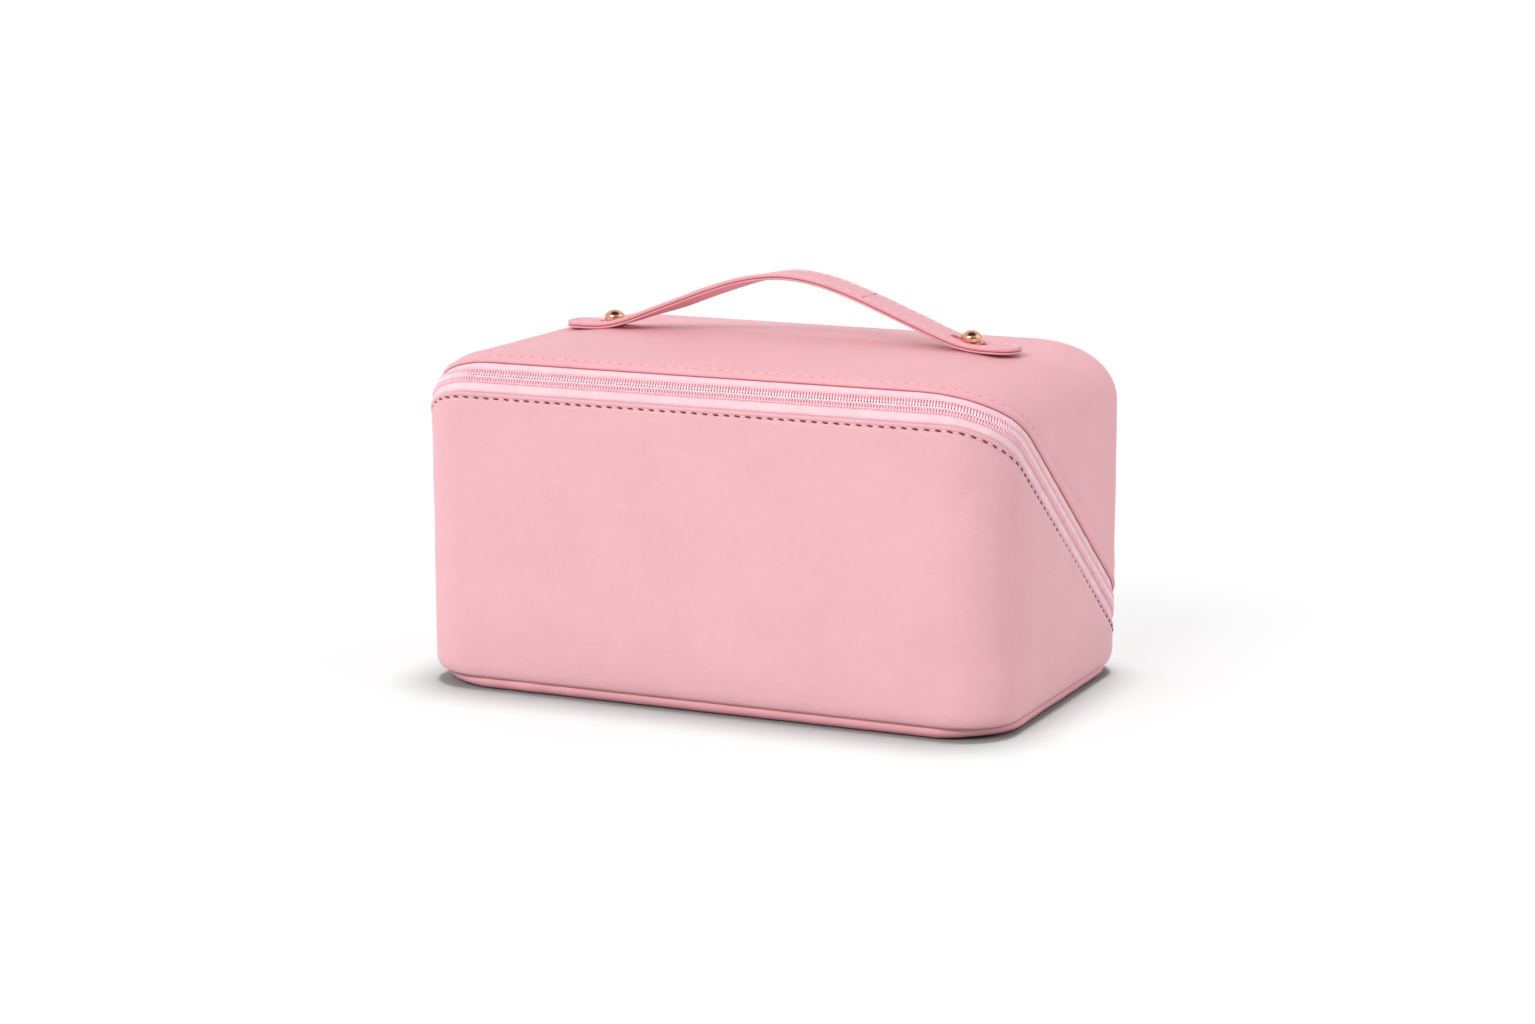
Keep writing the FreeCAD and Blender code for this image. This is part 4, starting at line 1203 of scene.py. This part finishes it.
def divider():
    """The padded divider, cut along its outline, and the binding along its upper edges."""
    hi_d = box_mm("divider_binding")[1]
    lo_p, hi_p = box_mm("divider_panel")
    x = (lo_p[0] + hi_p[0]) / 2
    front, rear = lo_p[1], hi_p[1]
    foot, top = lo_p[2], hi_d[2] - 1.5
    w = -13.5
    rear_z = ZIP_FRONT_Z + (w - ZIP_SIN * (rear + HALF_D)) / ZIP_COS
    shoulder = -HALF_D + (w - ZIP_COS * (top - ZIP_FRONT_Z)) / ZIP_SIN
    rows_y = np.linspace(front, rear, 76)
    top_line = np.where(rows_y < shoulder, top, ZIP_FRONT_Z + (w - ZIP_SIN * (rows_y + HALF_D)) / ZIP_COS)
    nz = 40
    sheets = []
    for sign in (-1.0, 1.0):
        rows = []
        for t in np.arange(nz) / (nz - 1):
            z = foot + (top_line - foot) * t
            u, v = rows_y - front, z - foot
            edge = np.minimum(np.minimum(u, rear - rows_y), np.minimum(v, top_line - z))
            half = 0.9 + 0.35 * smooth(0, 2.5, edge) + quilt(u, v, edge, 0.45)
            rows.append(xyz(x + sign * half, rows_y, z))
        sheets.append(np.concatenate(rows))
    panel = clean(slab("divider_pad", sheets, nz, len(rows_y), flap_pink), 0.004 * MM)
    path = rounded_path([(x, front + PIPING, foot + 6.0), (x, front + PIPING, top), (x, shoulder, top),
                         (x, rear - PIPING, rear_z + 1.0), (x, rear - PIPING, foot + 5.0)], 3.5)
    return panel, tube_along("divider_piping", path, PIPING, 1.85, (1.0, 0.0, 0.0), binding_pink, ribs=0.02)


divider_pad, divider_piping = divider()
put(divider_pad, "divider", "cover", "divider_panel")
put(divider_piping, "divider", "binding", "divider_binding")


def lathe(name, profile, centre, material, sides=48):
    """A ring turned from (radius, z) points about an upright axis."""
    angles = np.linspace(0.0, 2 * math.pi, sides, endpoint=False)
    rows = [xyz(centre[0] + r * np.cos(angles), centre[1] + r * np.sin(angles), z)
            for r, z in profile]
    return skin(name, rows, material, wrap_rows=True, crisp=40.0)


COLLAR = ((1.7, 134.55), (1.7, 134.25), (4.3, 134.2), (4.55, 134.26), (4.62, 134.36), (4.55, 134.48),
          (4.2, 134.56))
for word, x in (("left", -STUD_X), ("right", STUD_X)):
    put(lathe("stud_collar_" + word, COLLAR, (x, STRAP_Y), rose_gold), "lid", "rose_gold")

# ---------------------------------------------------------------- finishes on the CAD pieces that stay
KEPT = {
    board_grey: ("base_board", "front_board", "top_board", "rear_board", "lower_end_board_left",
                 "lower_end_board_right", "upper_end_board_left", "upper_end_board_right"),
    rose_gold: ("handle_stud_left", "handle_stud_right", "slider_body", "slider_bridge", "pull_tab"),
    steel_pale: ("stud_washers", "lower_zipper_stops", "upper_zipper_stops"),
}
for material, names in KEPT.items():
    for name in names:
        bpy.data.objects[name].data.materials.clear()
        bpy.data.objects[name].data.materials.append(material)

# ---------------------------------------------------------------- floor, light and camera
floor_nodes = Nodes("floor_pale", (152, 152, 152), 0.9, Specular_IOR_Level=0.02)
floor_nodes.mottle(floor_nodes.noise(6.0), 0.003)
floor = new_object("floor", [(-30, -30, 0), (30, -30, 0), (30, 30, 0), (-30, 30, 0)], [(0, 1, 2, 3)],
                   floor_nodes.material, scale=1.0)

scene = bpy.context.scene
scene.view_settings.view_transform = "Standard"
world = bpy.data.worlds.new("studio")
world.use_nodes = True


def studio(kind, inputs=None, **settings):
    return add_node(world.node_tree, kind, inputs, **settings)


def scaled(socket, factor, start):
    """start + factor * socket."""
    return studio("ShaderNodeMath", {0: socket, 1: factor, 2: start}, operation="MULTIPLY_ADD").outputs[0]


def sky(strength):
    """A white background of one strength, a number or a socket."""
    return studio("ShaderNodeBackground", {"Strength": strength}).outputs[0]


# the studio: pale all round, with a dark patch in front where the photographer stands
place = studio("ShaderNodeTexCoord").outputs["Generated"]
toward = studio("ShaderNodeVectorMath", {0: place, 1: (0.565, -0.807, 0.174)}, operation="DOT_PRODUCT")
dark = studio("ShaderNodeMapRange", {"Value": toward.outputs["Value"], "From Min": 0.6, "From Max": 0.98},
              interpolation_type="SMOOTHSTEP").outputs["Result"]
height = studio("ShaderNodeSeparateXYZ", {0: place}).outputs["Z"]
walls = studio("ShaderNodeValToRGB", {"Fac": height})
for element, (position, grey) in zip(walls.color_ramp.elements, ((0.80, 1.1), (0.93, 0.08))):
    element.position = position
    element.color = (grey, grey, grey, 1.0)
mirrored = studio("ShaderNodeMath", {0: walls.outputs["Color"], 1: scaled(dark, -0.65, 1.0)},
                  operation="MULTIPLY")
lit = sky(scaled(dark, -1.0, 1.13))
rays = studio("ShaderNodeLightPath").outputs
for share, other in ((rays["Is Glossy Ray"], sky(mirrored.outputs[0])), (rays["Is Camera Ray"], sky(0.99))):
    lit = studio("ShaderNodeMixShader", {0: share, 1: lit, 2: other}).outputs[0]
world.node_tree.links.new(lit, world.node_tree.nodes["World Output"].inputs["Surface"])
scene.world = world


def direction(azimuth, elevation):
    """The way to a place given in degrees; azimuth 0 is in front, negative is to the left."""
    a, e = math.radians(azimuth), math.radians(elevation)
    return Vector((math.sin(a) * math.cos(e), -math.cos(a) * math.cos(e), math.sin(e)))


def aimed(name, data, centre, away, distance):
    """A light or camera at a distance from a centre that it looks at."""
    obj = bpy.data.objects.new(name, data)
    obj.location = Vector(centre) + away * distance
    obj.rotation_euler = away.to_track_quat("Z", "Y").to_euler()
    scene.collection.objects.link(obj)
    return obj


def sun(name, azimuth, elevation, strength, spread):
    """A broad, soft, even light from far away."""
    light = bpy.data.lights.new(name, "SUN")
    light.energy = strength
    light.angle = math.radians(spread)
    return aimed(name, light, (0.0, 0.0, 0.0), direction(azimuth, elevation), 3.0)


sun("key", -14.0, 38.0, 1.65, 30.0)
sun("side", 110.0, 35.0, 0.3, 40.0)
# this lamp lights only the floor, and deepens the shadow under the case
overhead = sun("floor_lamp", 180.0, 86.0, 6.6, 20.0)
stage_only = bpy.data.collections.new("stage_only")
stage_only.objects.link(floor)
overhead.light_linking.receiver_collection = stage_only

camera_data = bpy.data.cameras.new("camera")
camera_data.lens = 75.5
camera_data.sensor_width = 36.0
camera_data.shift_x = -0.0056
camera_data.shift_y = 0.0080
scene.camera = aimed("camera", camera_data, (0.0, 0.0, 0.060), direction(24.53, 10.91), 1.2592)

bpy.context.view_layer.update()
